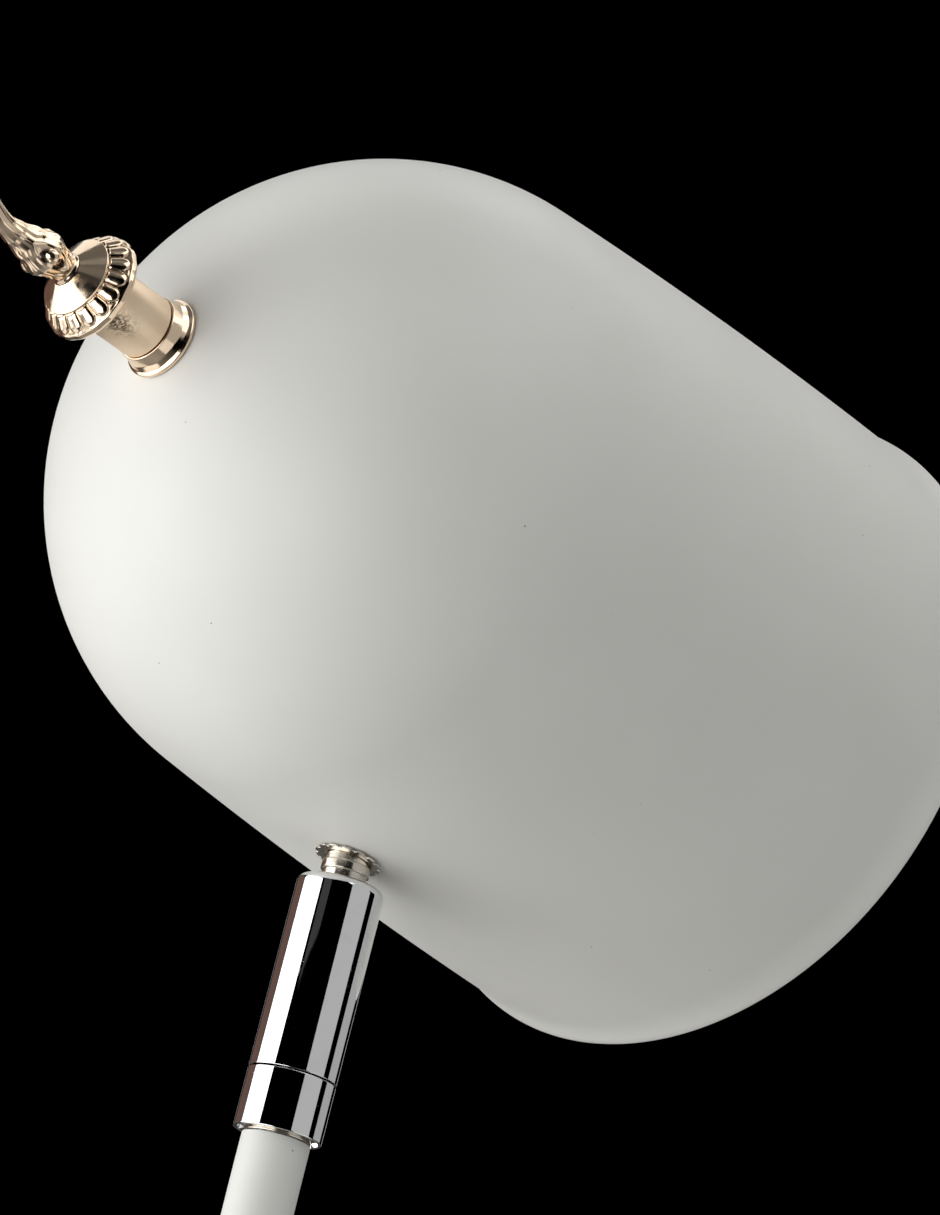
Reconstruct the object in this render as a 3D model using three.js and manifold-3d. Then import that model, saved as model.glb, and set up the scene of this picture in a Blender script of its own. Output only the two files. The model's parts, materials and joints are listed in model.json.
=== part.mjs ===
// Bow-stemmed floor lamp: weighted disc base, sectional white tube, chrome swivel,
// white bell shade with a gilt finial handle on its crown.
// Millimetres, +Z up. The origin is the centre of the base's underside, on the floor.
// The stem bows in the XZ plane and the light points towards +X, a little downwards.

import * as THREE from "three";
import { mergeVertices } from "three/addons/utils/BufferGeometryUtils.js";
import Module from "manifold-3d";

const wasm = await Module();
wasm.setup();

// ---------------------------------------------------------------- driving dimensions

const GAP = 0.3; // clearance kept between neighbouring pieces

const BASE_R = 150;
const BASE_H = 30;
const PAD_T = 2;
const COVER_T = 1.5;
const COVER_EDGE_R = 5;
const COVER_LOW = 1;
const WEIGHT_CHAMFER = 7;
const NUT_RECESS_R = 18; // room under the weight for the foot's locknut
const NUT_RECESS_H = 20.6;
const LEAD_GROOVE_W = 8; // groove under the weight, from the gland to the foot
const LEAD_GROOVE_H = 9.5;
const GLAND_R = 4.4;
const GLAND_Z = 8.2;

const TUBE_R = 10;
const TUBE_BORE_R = 8.8;
const SPIGOT_R = 8;
const SPIGOT_BORE_R = 6.2;
const WIRE_R = 2;

const ROOT_X = 74; // foot of the stem, ahead of the base's centre
const FOOT_RISE = 62; // straight length above the base
const KNEE_R = 120;
const KNEE_LEAN = THREE.MathUtils.degToRad(-28);
const BOW_R = 1600;
const TOP_LEAN = THREE.MathUtils.degToRad(21);
const BOW_SECTIONS = 3;
const COUPLER_R = 12.5;
const COUPLER_L = 36;
const COUPLER_SPIGOT_L = 64;

const FERRULE_R = 30;
const FERRULE_H = 44;
const FERRULE_EDGE_H = 3;
const FERRULE_COLLAR_R = 14.5;
const STUD_R = 6;
const STUD_BORE_R = 3;
const PLUG_H = 34;
const FOOT_NUT_R = 11;
const FOOT_WASHER_R = 14;

const SWIVEL_R = 12.9;
const SWIVEL_BASE_L = 17.2;
const BARREL_L = 58.2;
const BARREL_WALL = 2;
const BARREL_END_T = 4;
const SEAM = 0.5;
const SEAT_RING_H = 2.2;
const RECESS_H = 1.6;
const PIVOT_R = 5;
const PIVOT_BORE_R = 3.6;
const PIVOT_HEAD_R = 8;
const NIPPLE_R = 6.6;
const NIPPLE_BORE_R = 4.6;
const NIPPLE_SHOWN = 7.8; // from the top of the barrel to the skin of the shade
const NIPPLE_COLLAR_R = 7.2;
const NIPPLE_COLLAR_H = 2.7;
const SEAT_WASHER_R = 9.9; // lies flat on the skin of the shade
const SEAT_WASHER_T = 0.6;
const SADDLE_R = 12;
const BARREL_NUT_R = 10; // nuts are measured to their corners
const NIPPLE_NUT_R = 10.5;
const CROWN_WASHER_R = 11;
const CROWN_NUT_R = 9;

const SHADE_DROP = THREE.MathUtils.degToRad(25); // the light's axis below the horizon
const DOME_R = 98.5;
const DOME_H = 94.5;
const SKIRT_START = -7.8; // along the light's axis, from the centre of the dome
const SKIRT_END = 159;
const SKIRT_FLARE = 14.3;
const SKIRT_EASE = 6;
const LIP = 1.7;
const LIP_L = 12;
const SHADE_T = 1;
const JOINT_STATION = 33; // where the nipple enters the skirt

const FLANGE_R = 12.2;
const FLANGE_H = 6.4;
const NECK_R = 9.5;
const CUP_BACK = 27.5; // distances out from the crown of the dome
const CUP_WIDEST = 29.5;
const CUP_RING = 35.5;
const CUP_TIP = 39.4;
const CUP_R = 15.9;
const CUP_RING_R = 11.4;
const CUP_TIP_R = 5;
const BULGE_L = 24;
const BULGE_R = 6.6;
const ROD_R = 2.8;
const FINIAL_STUD_R = 4.4;
const FINIAL_STUD_BORE_R = 2.8;
const FINIAL_BALL_R = 5.5;

const HOLDER_R = 19;
const BULB_THREAD_R = 13.6;
const BULB_R = 30;
const BULB_T = 1.5;

// ---------------------------------------------------------------- finishes

function finish(color, roughness, metalness) {
  return { color, roughness, metalness };
}

const WHITE_COAT = finish(0xe4e3dc, 0.5, 0.0);
const CHROME = finish(0xd8d8da, 0.08, 1.0);
const NICKEL = finish(0xc9c2b2, 0.25, 1.0);
const GILT = finish(0xd9bd98, 0.22, 1.0);
const STEEL = finish(0x9a9a9c, 0.4, 1.0);
const CAST_IRON = finish(0x3b3b3d, 0.8, 0.6);
const FELT = finish(0x26262a, 0.95, 0.0);
const BLACK_PLASTIC = finish(0x17171a, 0.5, 0.0);
const OPAL_GLASS = finish(0xf6f3ea, 0.2, 0.0);
const LEAD_SHEATH = finish(0xdedcd6, 0.6, 0.0);

// ---------------------------------------------------------------- geometry helpers

function signedArea(points) {
  let area = 0;
  points.forEach((p, i) => {
    const q = points[(i + 1) % points.length];
    area += p[0] * q[1] - q[0] * p[1];
  });
  return area / 2;
}

// Turned solid about +Z from [radius, height] points; a ring profile is closed on itself.
function turned(points, sides = 24) {
  const profile = signedArea(points) < 0 ? [...points].reverse() : [...points];
  const onAxis = profile.some((p) => p[0] === 0);
  if (onAxis) {
    while (!(profile[0][0] === 0 && profile[profile.length - 1][0] === 0)) {
      profile.push(profile.shift());
    }
  } else {
    profile.push(profile[0]);
  }
  const path = profile.map((p) => new THREE.Vector2(p[0], p[1]));
  const geometry = new THREE.LatheGeometry(path, sides);
  geometry.rotateX(Math.PI / 2);
  return geometry;
}

// Plain ring or bush between two heights.
function ring(outer, inner, low, high, sides = 16) {
  return turned([[outer, low], [outer, high], [inner, high], [inner, low]], sides);
}

function disc(radius, low, high, sides = 24) {
  return turned([[0, low], [radius, low], [radius, high], [0, high]], sides);
}

// Hexagon nut with a round hole, across-corners radius given.
function hexNut(corner, hole, low, high) {
  const shape = new THREE.Shape();
  for (let i = 0; i < 6; i += 1) {
    const angle = (i * Math.PI) / 3;
    const x = corner * Math.cos(angle);
    const y = corner * Math.sin(angle);
    if (i === 0) {
      shape.moveTo(x, y);
    } else {
      shape.lineTo(x, y);
    }
  }
  shape.closePath();
  shape.holes.push(circlePath(hole));
  const options = { depth: high - low, bevelEnabled: false, curveSegments: 7 };
  const geometry = new THREE.ExtrudeGeometry(shape, options);
  geometry.translate(0, 0, low);
  return geometry;
}

function circlePath(radius) {
  const path = new THREE.Path();
  path.absarc(0, 0, radius, 0, 2 * Math.PI, false);
  return path;
}

// Tube or rod swept along a curve; sides is even.
function swept(curve, outer, inner, sides, steps = curve.stations.length - 1) {
  const shape = new THREE.Shape();
  shape.absarc(0, 0, outer, 0, 2 * Math.PI, false);
  if (inner > 0) {
    shape.holes.push(circlePath(inner));
  }
  const options = { steps, extrudePath: curve, curveSegments: sides / 2, bevelEnabled: false };
  return new THREE.ExtrudeGeometry(shape, options);
}

function solidOf(geometry) {
  const bare = geometry.clone();
  bare.deleteAttribute("normal");
  bare.deleteAttribute("uv");
  const merged = mergeVertices(bare, 1e-4);
  const vertProperties = new Float32Array(merged.attributes.position.array);
  const kept = [];
  const index = merged.index.array;
  for (let i = 0; i < index.length; i += 3) {
    const [a, b, c] = [index[i], index[i + 1], index[i + 2]];
    if (a !== b && b !== c && c !== a) {
      kept.push(a, b, c);
    }
  }
  const triVerts = new Uint32Array(kept);
  return new wasm.Manifold(new wasm.Mesh({ numProp: 3, vertProperties, triVerts }));
}

function geometryOf(solid) {
  const mesh = solid.getMesh();
  const geometry = new THREE.BufferGeometry();
  geometry.setAttribute("position", new THREE.BufferAttribute(mesh.vertProperties, 3));
  geometry.setIndex(new THREE.BufferAttribute(mesh.triVerts, 1));
  geometry.computeVertexNormals();
  return geometry;
}

function cut(geometry, ...tools) {
  const solid = tools.reduce((left, tool) => left.subtract(solidOf(tool)), solidOf(geometry));
  return geometryOf(solid);
}

function joined(geometry, ...others) {
  const solid = others.reduce((left, other) => left.add(solidOf(other)), solidOf(geometry));
  return geometryOf(solid);
}

function shared(geometry, other) {
  return geometryOf(solidOf(geometry).intersect(solidOf(other)));
}

function piece(parent, name, geometry, look) {
  const mesh = new THREE.Mesh(geometry, new THREE.MeshStandardMaterial(look));
  mesh.name = name;
  parent.add(mesh);
  return mesh;
}

// ---------------------------------------------------------------- the stem's centre line

const TUBE_FOOT_Z = BASE_H + GAP;
const FOOT_L = FOOT_RISE;
const KNEE_L = KNEE_R * Math.abs(KNEE_LEAN);
const BOW_L = BOW_R * (TOP_LEAN - KNEE_LEAN);
const STEM_L = FOOT_L + KNEE_L + BOW_L;

// Point and lean of the centre line at a distance up from the foot of the tube.
function stemAt(distance) {
  const foot = Math.min(distance, FOOT_L);
  const start = { x: ROOT_X, z: TUBE_FOOT_Z + foot, lean: 0 };
  if (distance <= FOOT_L) {
    return start;
  }
  const knee = bendFrom(start, -KNEE_R, Math.min(distance - FOOT_L, KNEE_L));
  if (distance <= FOOT_L + KNEE_L) {
    return knee;
  }
  return bendFrom(knee, BOW_R, distance - FOOT_L - KNEE_L);
}

// Follow a bend of signed radius from a start; a positive radius turns forwards.
function bendFrom(start, radius, length) {
  const lean = start.lean + length / radius;
  return {
    x: start.x + radius * (Math.cos(start.lean) - Math.cos(lean)),
    z: start.z + radius * (Math.sin(lean) - Math.sin(start.lean)),
    lean,
  };
}

// A curve through a point-at-distance function, sampled at chosen distances.
class RouteCurve extends THREE.Curve {
  constructor(pointAt, stations) {
    super();
    this.pointAt = pointAt;
    this.stations = stations;
    this.from = stations[0];
    this.span = stations[stations.length - 1] - this.from;
  }

  getPoint(t, target = new THREE.Vector3()) {
    const { x, z } = this.pointAt(this.from + this.span * t);
    return target.set(x, 0, z);
  }

  getUtoTmapping(u) {
    const place = u * (this.stations.length - 1);
    const i = Math.min(Math.floor(place + 1e-9), this.stations.length - 2);
    const distance = THREE.MathUtils.lerp(this.stations[i], this.stations[i + 1], place - i);
    return (distance - this.from) / this.span;
  }
}

// Distances from one to another in equal steps, both ends included.
function stepped(from, to, steps) {
  return Array.from({ length: steps + 1 }, (_, i) => from + ((to - from) * i) / steps);
}

const BOW_START = FOOT_L + KNEE_L;
const jointStations = [];
for (let i = 1; i < BOW_SECTIONS; i += 1) {
  jointStations.push(BOW_START + (BOW_L * i) / BOW_SECTIONS);
}

// ---------------------------------------------------------------- base

function buildBase(lamp) {
  const weightR = BASE_R - COVER_T - 1;
  const weightTop = BASE_H - COVER_T - GAP;
  const weightLow = PAD_T + GAP;

  piece(lamp, "floor_pad", disc(weightR - 1, 0, PAD_T, 40), FELT);

  const hole = disc(STUD_R + 0.5, 0, BASE_H, 16).translate(ROOT_X, 0, 0);
  const recess = disc(NUT_RECESS_R, 0, NUT_RECESS_H, 16).translate(ROOT_X, 0, 0);
  const grooveL = ROOT_X + BASE_R;
  const groove = new THREE.BoxGeometry(grooveL, LEAD_GROOVE_W, 2 * LEAD_GROOVE_H);
  groove.translate(ROOT_X - grooveL / 2, 0, 0);
  const slab = [
    [0, weightLow],
    [weightR, weightLow],
    [weightR, weightTop - WEIGHT_CHAMFER],
    [weightR - WEIGHT_CHAMFER, weightTop],
    [0, weightTop],
  ];
  piece(lamp, "base_weight", cut(turned(slab, 40), hole, recess, groove), CAST_IRON);

  const shell = turned([...coverOutline(0), ...coverOutline(COVER_T).reverse()], 48);
  const footHole = disc(STUD_R + 0.5, 0, 2 * BASE_H, 16).translate(ROOT_X, 0, 0);
  const glandHole = disc(GLAND_R, -10, 10, 16).rotateY(Math.PI / 2);
  glandHole.translate(-BASE_R, 0, GLAND_Z);
  piece(lamp, "base_cover", cut(shell, footHole, glandHole), WHITE_COAT);

  const glandProfile = [[7, 0.4], [7, 2.4], [5.6, 6], [3, 6], [3, -1.6], [4, -1.6], [4, 0.4]];
  const gland = piece(lamp, "cord_gland", turned(glandProfile, 16), BLACK_PLASTIC);
  gland.position.set(-BASE_R, 0, GLAND_Z);
  gland.rotation.y = -Math.PI / 2;
}

// Outline of the base cover from its middle to its lower edge, set in by a thickness.
function coverOutline(inset) {
  const soften = 0.3 * COVER_EDGE_R;
  return [
    [0, BASE_H - inset],
    [BASE_R - COVER_EDGE_R, BASE_H - inset],
    [BASE_R - soften - inset, BASE_H - soften - inset],
    [BASE_R - inset, BASE_H - COVER_EDGE_R],
    [BASE_R - inset, COVER_LOW],
  ];
}

function buildFoot(lamp) {
  const foot = new THREE.Group();
  foot.position.set(ROOT_X, 0, 0);
  lamp.add(foot);
  const seat = BASE_H + GAP;
  const bore = TUBE_R + 0.5;
  const ferrule = [
    [FERRULE_R, seat],
    [FERRULE_R, seat + FERRULE_EDGE_H],
    [FERRULE_R - 2, seat + FERRULE_EDGE_H + 2],
    [FERRULE_COLLAR_R + 4, seat + FERRULE_EDGE_H + 4],
    [FERRULE_COLLAR_R, seat + FERRULE_EDGE_H + 8],
    [FERRULE_COLLAR_R, seat + FERRULE_H - 2],
    [FERRULE_COLLAR_R - 1.5, seat + FERRULE_H],
    [bore, seat + FERRULE_H],
    [bore, seat],
  ];
  piece(foot, "foot_ferrule", turned(ferrule, 28), CHROME);
  piece(foot, "foot_plug", ring(SPIGOT_R, STUD_R + 0.4, seat + 0.2, seat + PLUG_H), STEEL);
  const washerTop = NUT_RECESS_H - GAP;
  const washerLow = washerTop - 1.5;
  const nutTop = washerLow - GAP;
  const nutLow = nutTop - 5;
  const studTop = seat + PLUG_H - 4;
  piece(foot, "foot_stud", ring(STUD_R, STUD_BORE_R, nutLow - 0.5, studTop), STEEL);
  piece(foot, "foot_locknut", hexNut(FOOT_NUT_R, STUD_R + GAP, nutLow, nutTop), STEEL);
  piece(foot, "foot_washer", ring(FOOT_WASHER_R, STUD_R + GAP, washerLow, washerTop), STEEL);
}

// ---------------------------------------------------------------- stem

function buildStem(lamp) {
  const names = ["lower_tube", "middle_tube", "upper_tube"];
  const starts = [BOW_START, ...jointStations.map((s) => s + GAP)];
  const ends = [...jointStations.map((s) => s - GAP), STEM_L];
  names.forEach((name, i) => {
    const bow = stepped(starts[i], ends[i], 10);
    const foot = i === 0 ? [0, ...stepped(FOOT_L, BOW_START, 7).slice(0, -1)] : [];
    const curve = new RouteCurve(stemAt, [...foot, ...bow]);
    piece(lamp, name, swept(curve, TUBE_R, TUBE_BORE_R, 12), WHITE_COAT);
  });
  const couplerNames = ["lower", "upper"];
  jointStations.forEach((station, i) => {
    const half = COUPLER_L / 2;
    const spigotHalf = COUPLER_SPIGOT_L / 2;
    const sleeve = new RouteCurve(stemAt, stepped(station - half, station + half, 2));
    const spigot = new RouteCurve(stemAt, stepped(station - spigotHalf, station + spigotHalf, 3));
    const sleeveShape = swept(sleeve, COUPLER_R, TUBE_R + 0.5, 20);
    piece(lamp, `${couplerNames[i]}_coupler`, sleeveShape, CHROME);
    const spigotShape = swept(spigot, SPIGOT_R, SPIGOT_BORE_R, 12);
    piece(lamp, `${couplerNames[i]}_spigot`, spigotShape, STEEL);
  });
}

// The lead inside the stem, from the gland through the base and up to the swivel.
function buildStemLead(lamp) {
  const low = PAD_T + 2 * GAP + WIRE_R + 0.2;
  const bendR = 8;
  const start = -BASE_R + 3;
  const run = ROOT_X - bendR - start;
  const bend = (bendR * Math.PI) / 2;
  const rise = TUBE_FOOT_Z - low - bendR;
  const tubeStart = run + bend + rise;
  const leadAt = (distance) => {
    if (distance <= run) {
      return { x: start + distance, z: low };
    }
    if (distance <= run + bend) {
      const angle = (distance - run) / bendR;
      return {
        x: ROOT_X - bendR + bendR * Math.sin(angle),
        z: low + bendR * (1 - Math.cos(angle)),
      };
    }
    if (distance <= tubeStart) {
      return { x: ROOT_X, z: low + bendR + distance - run - bend };
    }
    const along = Math.min(distance - tubeStart, STEM_L);
    const past = distance - tubeStart - along;
    const { x, z, lean } = stemAt(along);
    return { x: x + past * Math.sin(lean), z: z + past * Math.cos(lean) };
  };
  const stations = [
    0,
    ...stepped(run, run + bend, 6),
    ...stepped(tubeStart + FOOT_L, tubeStart + BOW_START, 7),
    ...stepped(tubeStart + BOW_START, tubeStart + STEM_L, 28).slice(1),
    tubeStart + STEM_L + SWIVEL_BASE_L - 1,
  ];
  const shape = swept(new RouteCurve(leadAt, stations), WIRE_R, 0, 8);
  piece(lamp, "stem_wire", shape, LEAD_SHEATH);
}

// ---------------------------------------------------------------- swivel

const BASE_LOW = SEAT_RING_H - RECESS_H + GAP; // lower edge of the fixed chrome half
const SEAM_Z = BASE_LOW + SWIVEL_BASE_L;
const BARREL_LOW = SEAM_Z + SEAM;
const BARREL_TOP = BARREL_LOW + BARREL_L;
const JOINT_Z = BARREL_TOP + NIPPLE_SHOWN;

function buildSwivelBase(top) {
  const seat = ring(TUBE_R - 0.2, SPIGOT_R + GAP, GAP, SEAT_RING_H, 20);
  piece(top, "tube_seat_ring", seat, NICKEL);
  const shankEnd = -26;
  const recessTop = BASE_LOW + RECESS_H;
  const body = [
    [SPIGOT_R, shankEnd],
    [SPIGOT_R, recessTop],
    [SWIVEL_R - 1.2, recessTop],
    [SWIVEL_R - 0.6, BASE_LOW],
    [SWIVEL_R, BASE_LOW + 0.4],
    [SWIVEL_R, SEAM_Z],
    [PIVOT_R + 0.4, SEAM_Z],
    [PIVOT_R + 0.4, shankEnd],
  ];
  piece(top, "swivel_base", turned(body, 24), CHROME);
  const headLow = BARREL_LOW + BARREL_END_T + 1.6;
  const pivot = [
    [PIVOT_R, SEAM_Z - 16],
    [PIVOT_R, headLow],
    [PIVOT_HEAD_R, headLow],
    [PIVOT_HEAD_R, headLow + 3],
    [PIVOT_BORE_R, headLow + 3],
    [PIVOT_BORE_R, SEAM_Z - 16],
  ];
  piece(top, "swivel_pivot", turned(pivot, 16), STEEL);
}

function buildBarrel(top) {
  const cavityR = SWIVEL_R - BARREL_WALL;
  const shoulder = 2.6;
  const barrel = [
    [SWIVEL_R, BARREL_LOW],
    [SWIVEL_R, BARREL_TOP - shoulder],
    [SWIVEL_R - 0.3 * shoulder, BARREL_TOP - 0.3 * shoulder],
    [SWIVEL_R - shoulder, BARREL_TOP],
    [NIPPLE_R + GAP, BARREL_TOP],
    [NIPPLE_R + GAP, BARREL_TOP - BARREL_END_T],
    [cavityR, BARREL_TOP - BARREL_END_T],
    [cavityR, BARREL_LOW + BARREL_END_T],
    [PIVOT_R + 0.4, BARREL_LOW + BARREL_END_T],
    [PIVOT_R + 0.4, BARREL_LOW],
  ];
  piece(top, "swivel_barrel", turned(barrel, 24), CHROME);
  const washerLow = BARREL_LOW + BARREL_END_T + GAP;
  const washer = ring(PIVOT_R + 3.2, PIVOT_R + 0.4, washerLow, washerLow + 1, 16);
  piece(top, "swivel_washer", washer, STEEL);
  const nutTop = BARREL_TOP - BARREL_END_T - GAP;
  piece(top, "barrel_locknut", hexNut(BARREL_NUT_R, NIPPLE_R + 0.4, nutTop - 4, nutTop), STEEL);
}

// Pieces that hold the shade on the swivel, on the tube's line.
function buildNipple(top, shadeInside) {
  const low = BARREL_TOP - 12;
  const high = JOINT_Z + 15;
  const collarHigh = JOINT_Z - 2.2;
  const collarLow = collarHigh - NIPPLE_COLLAR_H;
  const nipple = [
    [NIPPLE_R, low],
    [NIPPLE_R, collarLow],
    [NIPPLE_COLLAR_R, collarLow],
    [NIPPLE_COLLAR_R, collarHigh],
    [NIPPLE_R, collarHigh],
    [NIPPLE_R, high],
    [NIPPLE_BORE_R, high],
    [NIPPLE_BORE_R, low],
  ];
  piece(top, "shade_nipple", turned(nipple, 20), NICKEL);
  const seat = ring(SEAT_WASHER_R, NIPPLE_R + 0.5, -GAP - SEAT_WASHER_T, -GAP, 20);
  seat.rotateY(JOINT_TILT + SKIN_SLOPE).translate(0, 0, JOINT_Z);
  piece(top, "seat_washer", seat, NICKEL);
  const saddleHigh = JOINT_Z + 7;
  const saddleBlock = ring(SADDLE_R, NIPPLE_R + 0.4, JOINT_Z, saddleHigh, 20);
  piece(top, "saddle_washer", shared(saddleBlock, shadeInside), NICKEL);
  const nutLow = saddleHigh + GAP;
  const locknut = hexNut(NIPPLE_NUT_R, NIPPLE_R + 0.4, nutLow, nutLow + 4.5);
  piece(top, "nipple_locknut", locknut, STEEL);
}

// ---------------------------------------------------------------- shade

const SKIRT_TOP_R = DOME_R * Math.sqrt(1 - (SKIRT_START / DOME_H) ** 2);

// Outer radius of the shade at a station along the light's axis.
function shadeRadius(station) {
  if (station < SKIRT_START) {
    return DOME_R * Math.sqrt(Math.max(0, 1 - (station / DOME_H) ** 2));
  }
  const u = (station - SKIRT_START) / (SKIRT_END - SKIRT_START);
  const v = Math.max(0, (station - SKIRT_END + LIP_L) / LIP_L);
  return SKIRT_TOP_R + SKIRT_FLARE * u - SKIRT_EASE * u * u + LIP * v * v;
}

// Station of the dome's skin at a radius from the light's axis.
function domeStation(radius) {
  return -DOME_H * Math.sqrt(1 - (radius / DOME_R) ** 2);
}

// Outline of the shade from the crown hole to the mouth, set in by a thickness.
function shadeOutline(inset, crownR) {
  const scale = (DOME_R - inset) / DOME_R;
  const drop = (DOME_H - inset) / DOME_H;
  const points = [];
  const domeSteps = 8;
  const first = Math.asin(crownR / DOME_R);
  const last = Math.acos(-SKIRT_START / DOME_H);
  for (let i = 0; i <= domeSteps; i += 1) {
    const angle = first + ((last - first) * i) / domeSteps;
    points.push([scale * DOME_R * Math.sin(angle), -drop * DOME_H * Math.cos(angle)]);
  }
  for (const station of [35, 80, 120, SKIRT_END - LIP_L, SKIRT_END - LIP_L / 2, SKIRT_END]) {
    points.push([shadeRadius(station) - inset, station]);
  }
  return points;
}

const JOINT_RADIUS = shadeRadius(JOINT_STATION);
const JOINT_TILT = SHADE_DROP - TOP_LEAN; // tube line to the shade's radius, in the XZ plane
const SKIN_SLOPE = Math.atan(shadeRadius(JOINT_STATION + 0.5) - shadeRadius(JOINT_STATION - 0.5));

// Moves a geometry made about the tube's line into the shade's own frame.
function intoShade(geometry) {
  geometry.translate(0, 0, -JOINT_Z);
  geometry.rotateY(-Math.PI / 2 - JOINT_TILT);
  geometry.translate(JOINT_RADIUS, 0, JOINT_STATION);
  return geometry;
}

// Places the shade's own frame in the frame of the tube's line.
function shadePlacement() {
  const turn = new THREE.Matrix4().makeRotationY(Math.PI / 2 + JOINT_TILT);
  const back = new THREE.Matrix4().makeTranslation(-JOINT_RADIUS, 0, -JOINT_STATION);
  const up = new THREE.Matrix4().makeTranslation(0, 0, JOINT_Z);
  return up.multiply(turn).multiply(back);
}

function buildShade(head) {
  const crownHole = FINIAL_STUD_R + 0.4;
  const outer = shadeOutline(0, crownHole);
  const inner = shadeOutline(SHADE_T, crownHole).reverse();
  const shell = turned([...outer, ...inner], 32);
  const hole = intoShade(disc(NIPPLE_R + 0.5, JOINT_Z - 12, JOINT_Z + 12, 16));
  piece(head, "shade", cut(shell, hole), WHITE_COAT);
}

// The hollow of the shade, a little clear of its skin, in the tube's frame.
function shadeHollow() {
  const outline = shadeOutline(SHADE_T + 0.8, 0);
  outline[0][0] = 0;
  const hollow = turned([...outline, [0, SKIRT_END]], 32);
  return hollow.applyMatrix4(shadePlacement());
}

// ---------------------------------------------------------------- finial

// Distances here run outwards from the crown of the dome, against the light's axis.
function buildFinial(head) {
  const finial = new THREE.Group();
  finial.position.z = -DOME_H;
  finial.rotation.x = Math.PI;
  head.add(finial);
  const stud = FINIAL_STUD_R + 0.35;
  const sag = (radius) => GAP - DOME_H - domeStation(radius);
  const flange = [
    [FLANGE_R, sag(FLANGE_R)],
    [FLANGE_R, sag(FLANGE_R) + 1.9],
    [FLANGE_R - 1.4, 2.6],
    [NECK_R + 0.8, 4],
    [NECK_R + 0.3, FLANGE_H],
    [stud, FLANGE_H],
    [stud, sag(stud)],
  ];
  piece(finial, "finial_flange", turned(flange, 24), GILT);
  const neckLow = FLANGE_H + GAP;
  const neckHigh = CUP_WIDEST + 0.5;
  piece(finial, "finial_neck", ring(NECK_R, stud, neckLow, neckHigh, 20), GILT);
  const cup = [
    [NECK_R + 1.2, CUP_BACK],
    [CUP_R - 1, CUP_BACK],
    [CUP_R, CUP_WIDEST],
    [CUP_R - 0.6, CUP_WIDEST + 2.2],
    [CUP_RING_R, CUP_RING],
    [CUP_TIP_R, CUP_TIP],
    [stud, CUP_TIP],
    [stud, neckHigh + GAP],
    [NECK_R + 1.2, neckHigh + GAP],
  ];
  piece(finial, "fluted_cup", turned(cup, 24), GILT);
  piece(finial, "finial_handle", handleShape(), GILT);
}

// Cast handle: a leafy swelling, then a rod that sweeps up and ends in a ball.
function handleShape() {
  const base = CUP_TIP + GAP;
  const rodStart = base + BULGE_L - 4;
  const swelling = [
    [0, base],
    [CUP_TIP_R, base],
    [BULGE_R - 0.6, base + 0.2 * BULGE_L],
    [BULGE_R, base + 0.4 * BULGE_L],
    [BULGE_R - 1.6, base + 0.65 * BULGE_L],
    [ROD_R + 0.5, base + 0.85 * BULGE_L],
    [ROD_R - 0.2, base + BULGE_L],
    [0, base + BULGE_L],
  ];
  const route = new THREE.CatmullRomCurve3([
    new THREE.Vector3(0, 0, rodStart),
    new THREE.Vector3(-1, 0, rodStart + 7),
    new THREE.Vector3(-6, 0, rodStart + 16),
    new THREE.Vector3(-16, 0, rodStart + 25),
    new THREE.Vector3(-28, 0, rodStart + 31),
    new THREE.Vector3(-37, 0, rodStart + 39),
    new THREE.Vector3(-41, 0, rodStart + 49),
  ]);
  const rod = swept(route, ROD_R, 0, 8, 14);
  const ball = new THREE.SphereGeometry(FINIAL_BALL_R, 12, 8);
  ball.translate(-42, 0, rodStart + 53);
  return joined(turned(swelling, 16), rod, ball);
}

function buildFinialFixing(head) {
  const crownInside = -DOME_H + SHADE_T;
  const studLow = -DOME_H - CUP_TIP + 1.2;
  const studHigh = crownInside + 14;
  const stud = ring(FINIAL_STUD_R, FINIAL_STUD_BORE_R, studLow, studHigh, 12);
  piece(head, "finial_stud", stud, STEEL);
  const washerLow = crownInside + 1;
  const washer = ring(CROWN_WASHER_R, FINIAL_STUD_R + GAP, washerLow, washerLow + 1.2, 16);
  piece(head, "finial_washer", washer, STEEL);
  const nutLow = washerLow + 1.2 + GAP;
  const nut = hexNut(CROWN_NUT_R, FINIAL_STUD_R + GAP, nutLow, nutLow + 4);
  piece(head, "finial_nut", nut, STEEL);
  return nutLow + 4;
}

// ---------------------------------------------------------------- lampholder and bulb

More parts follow.
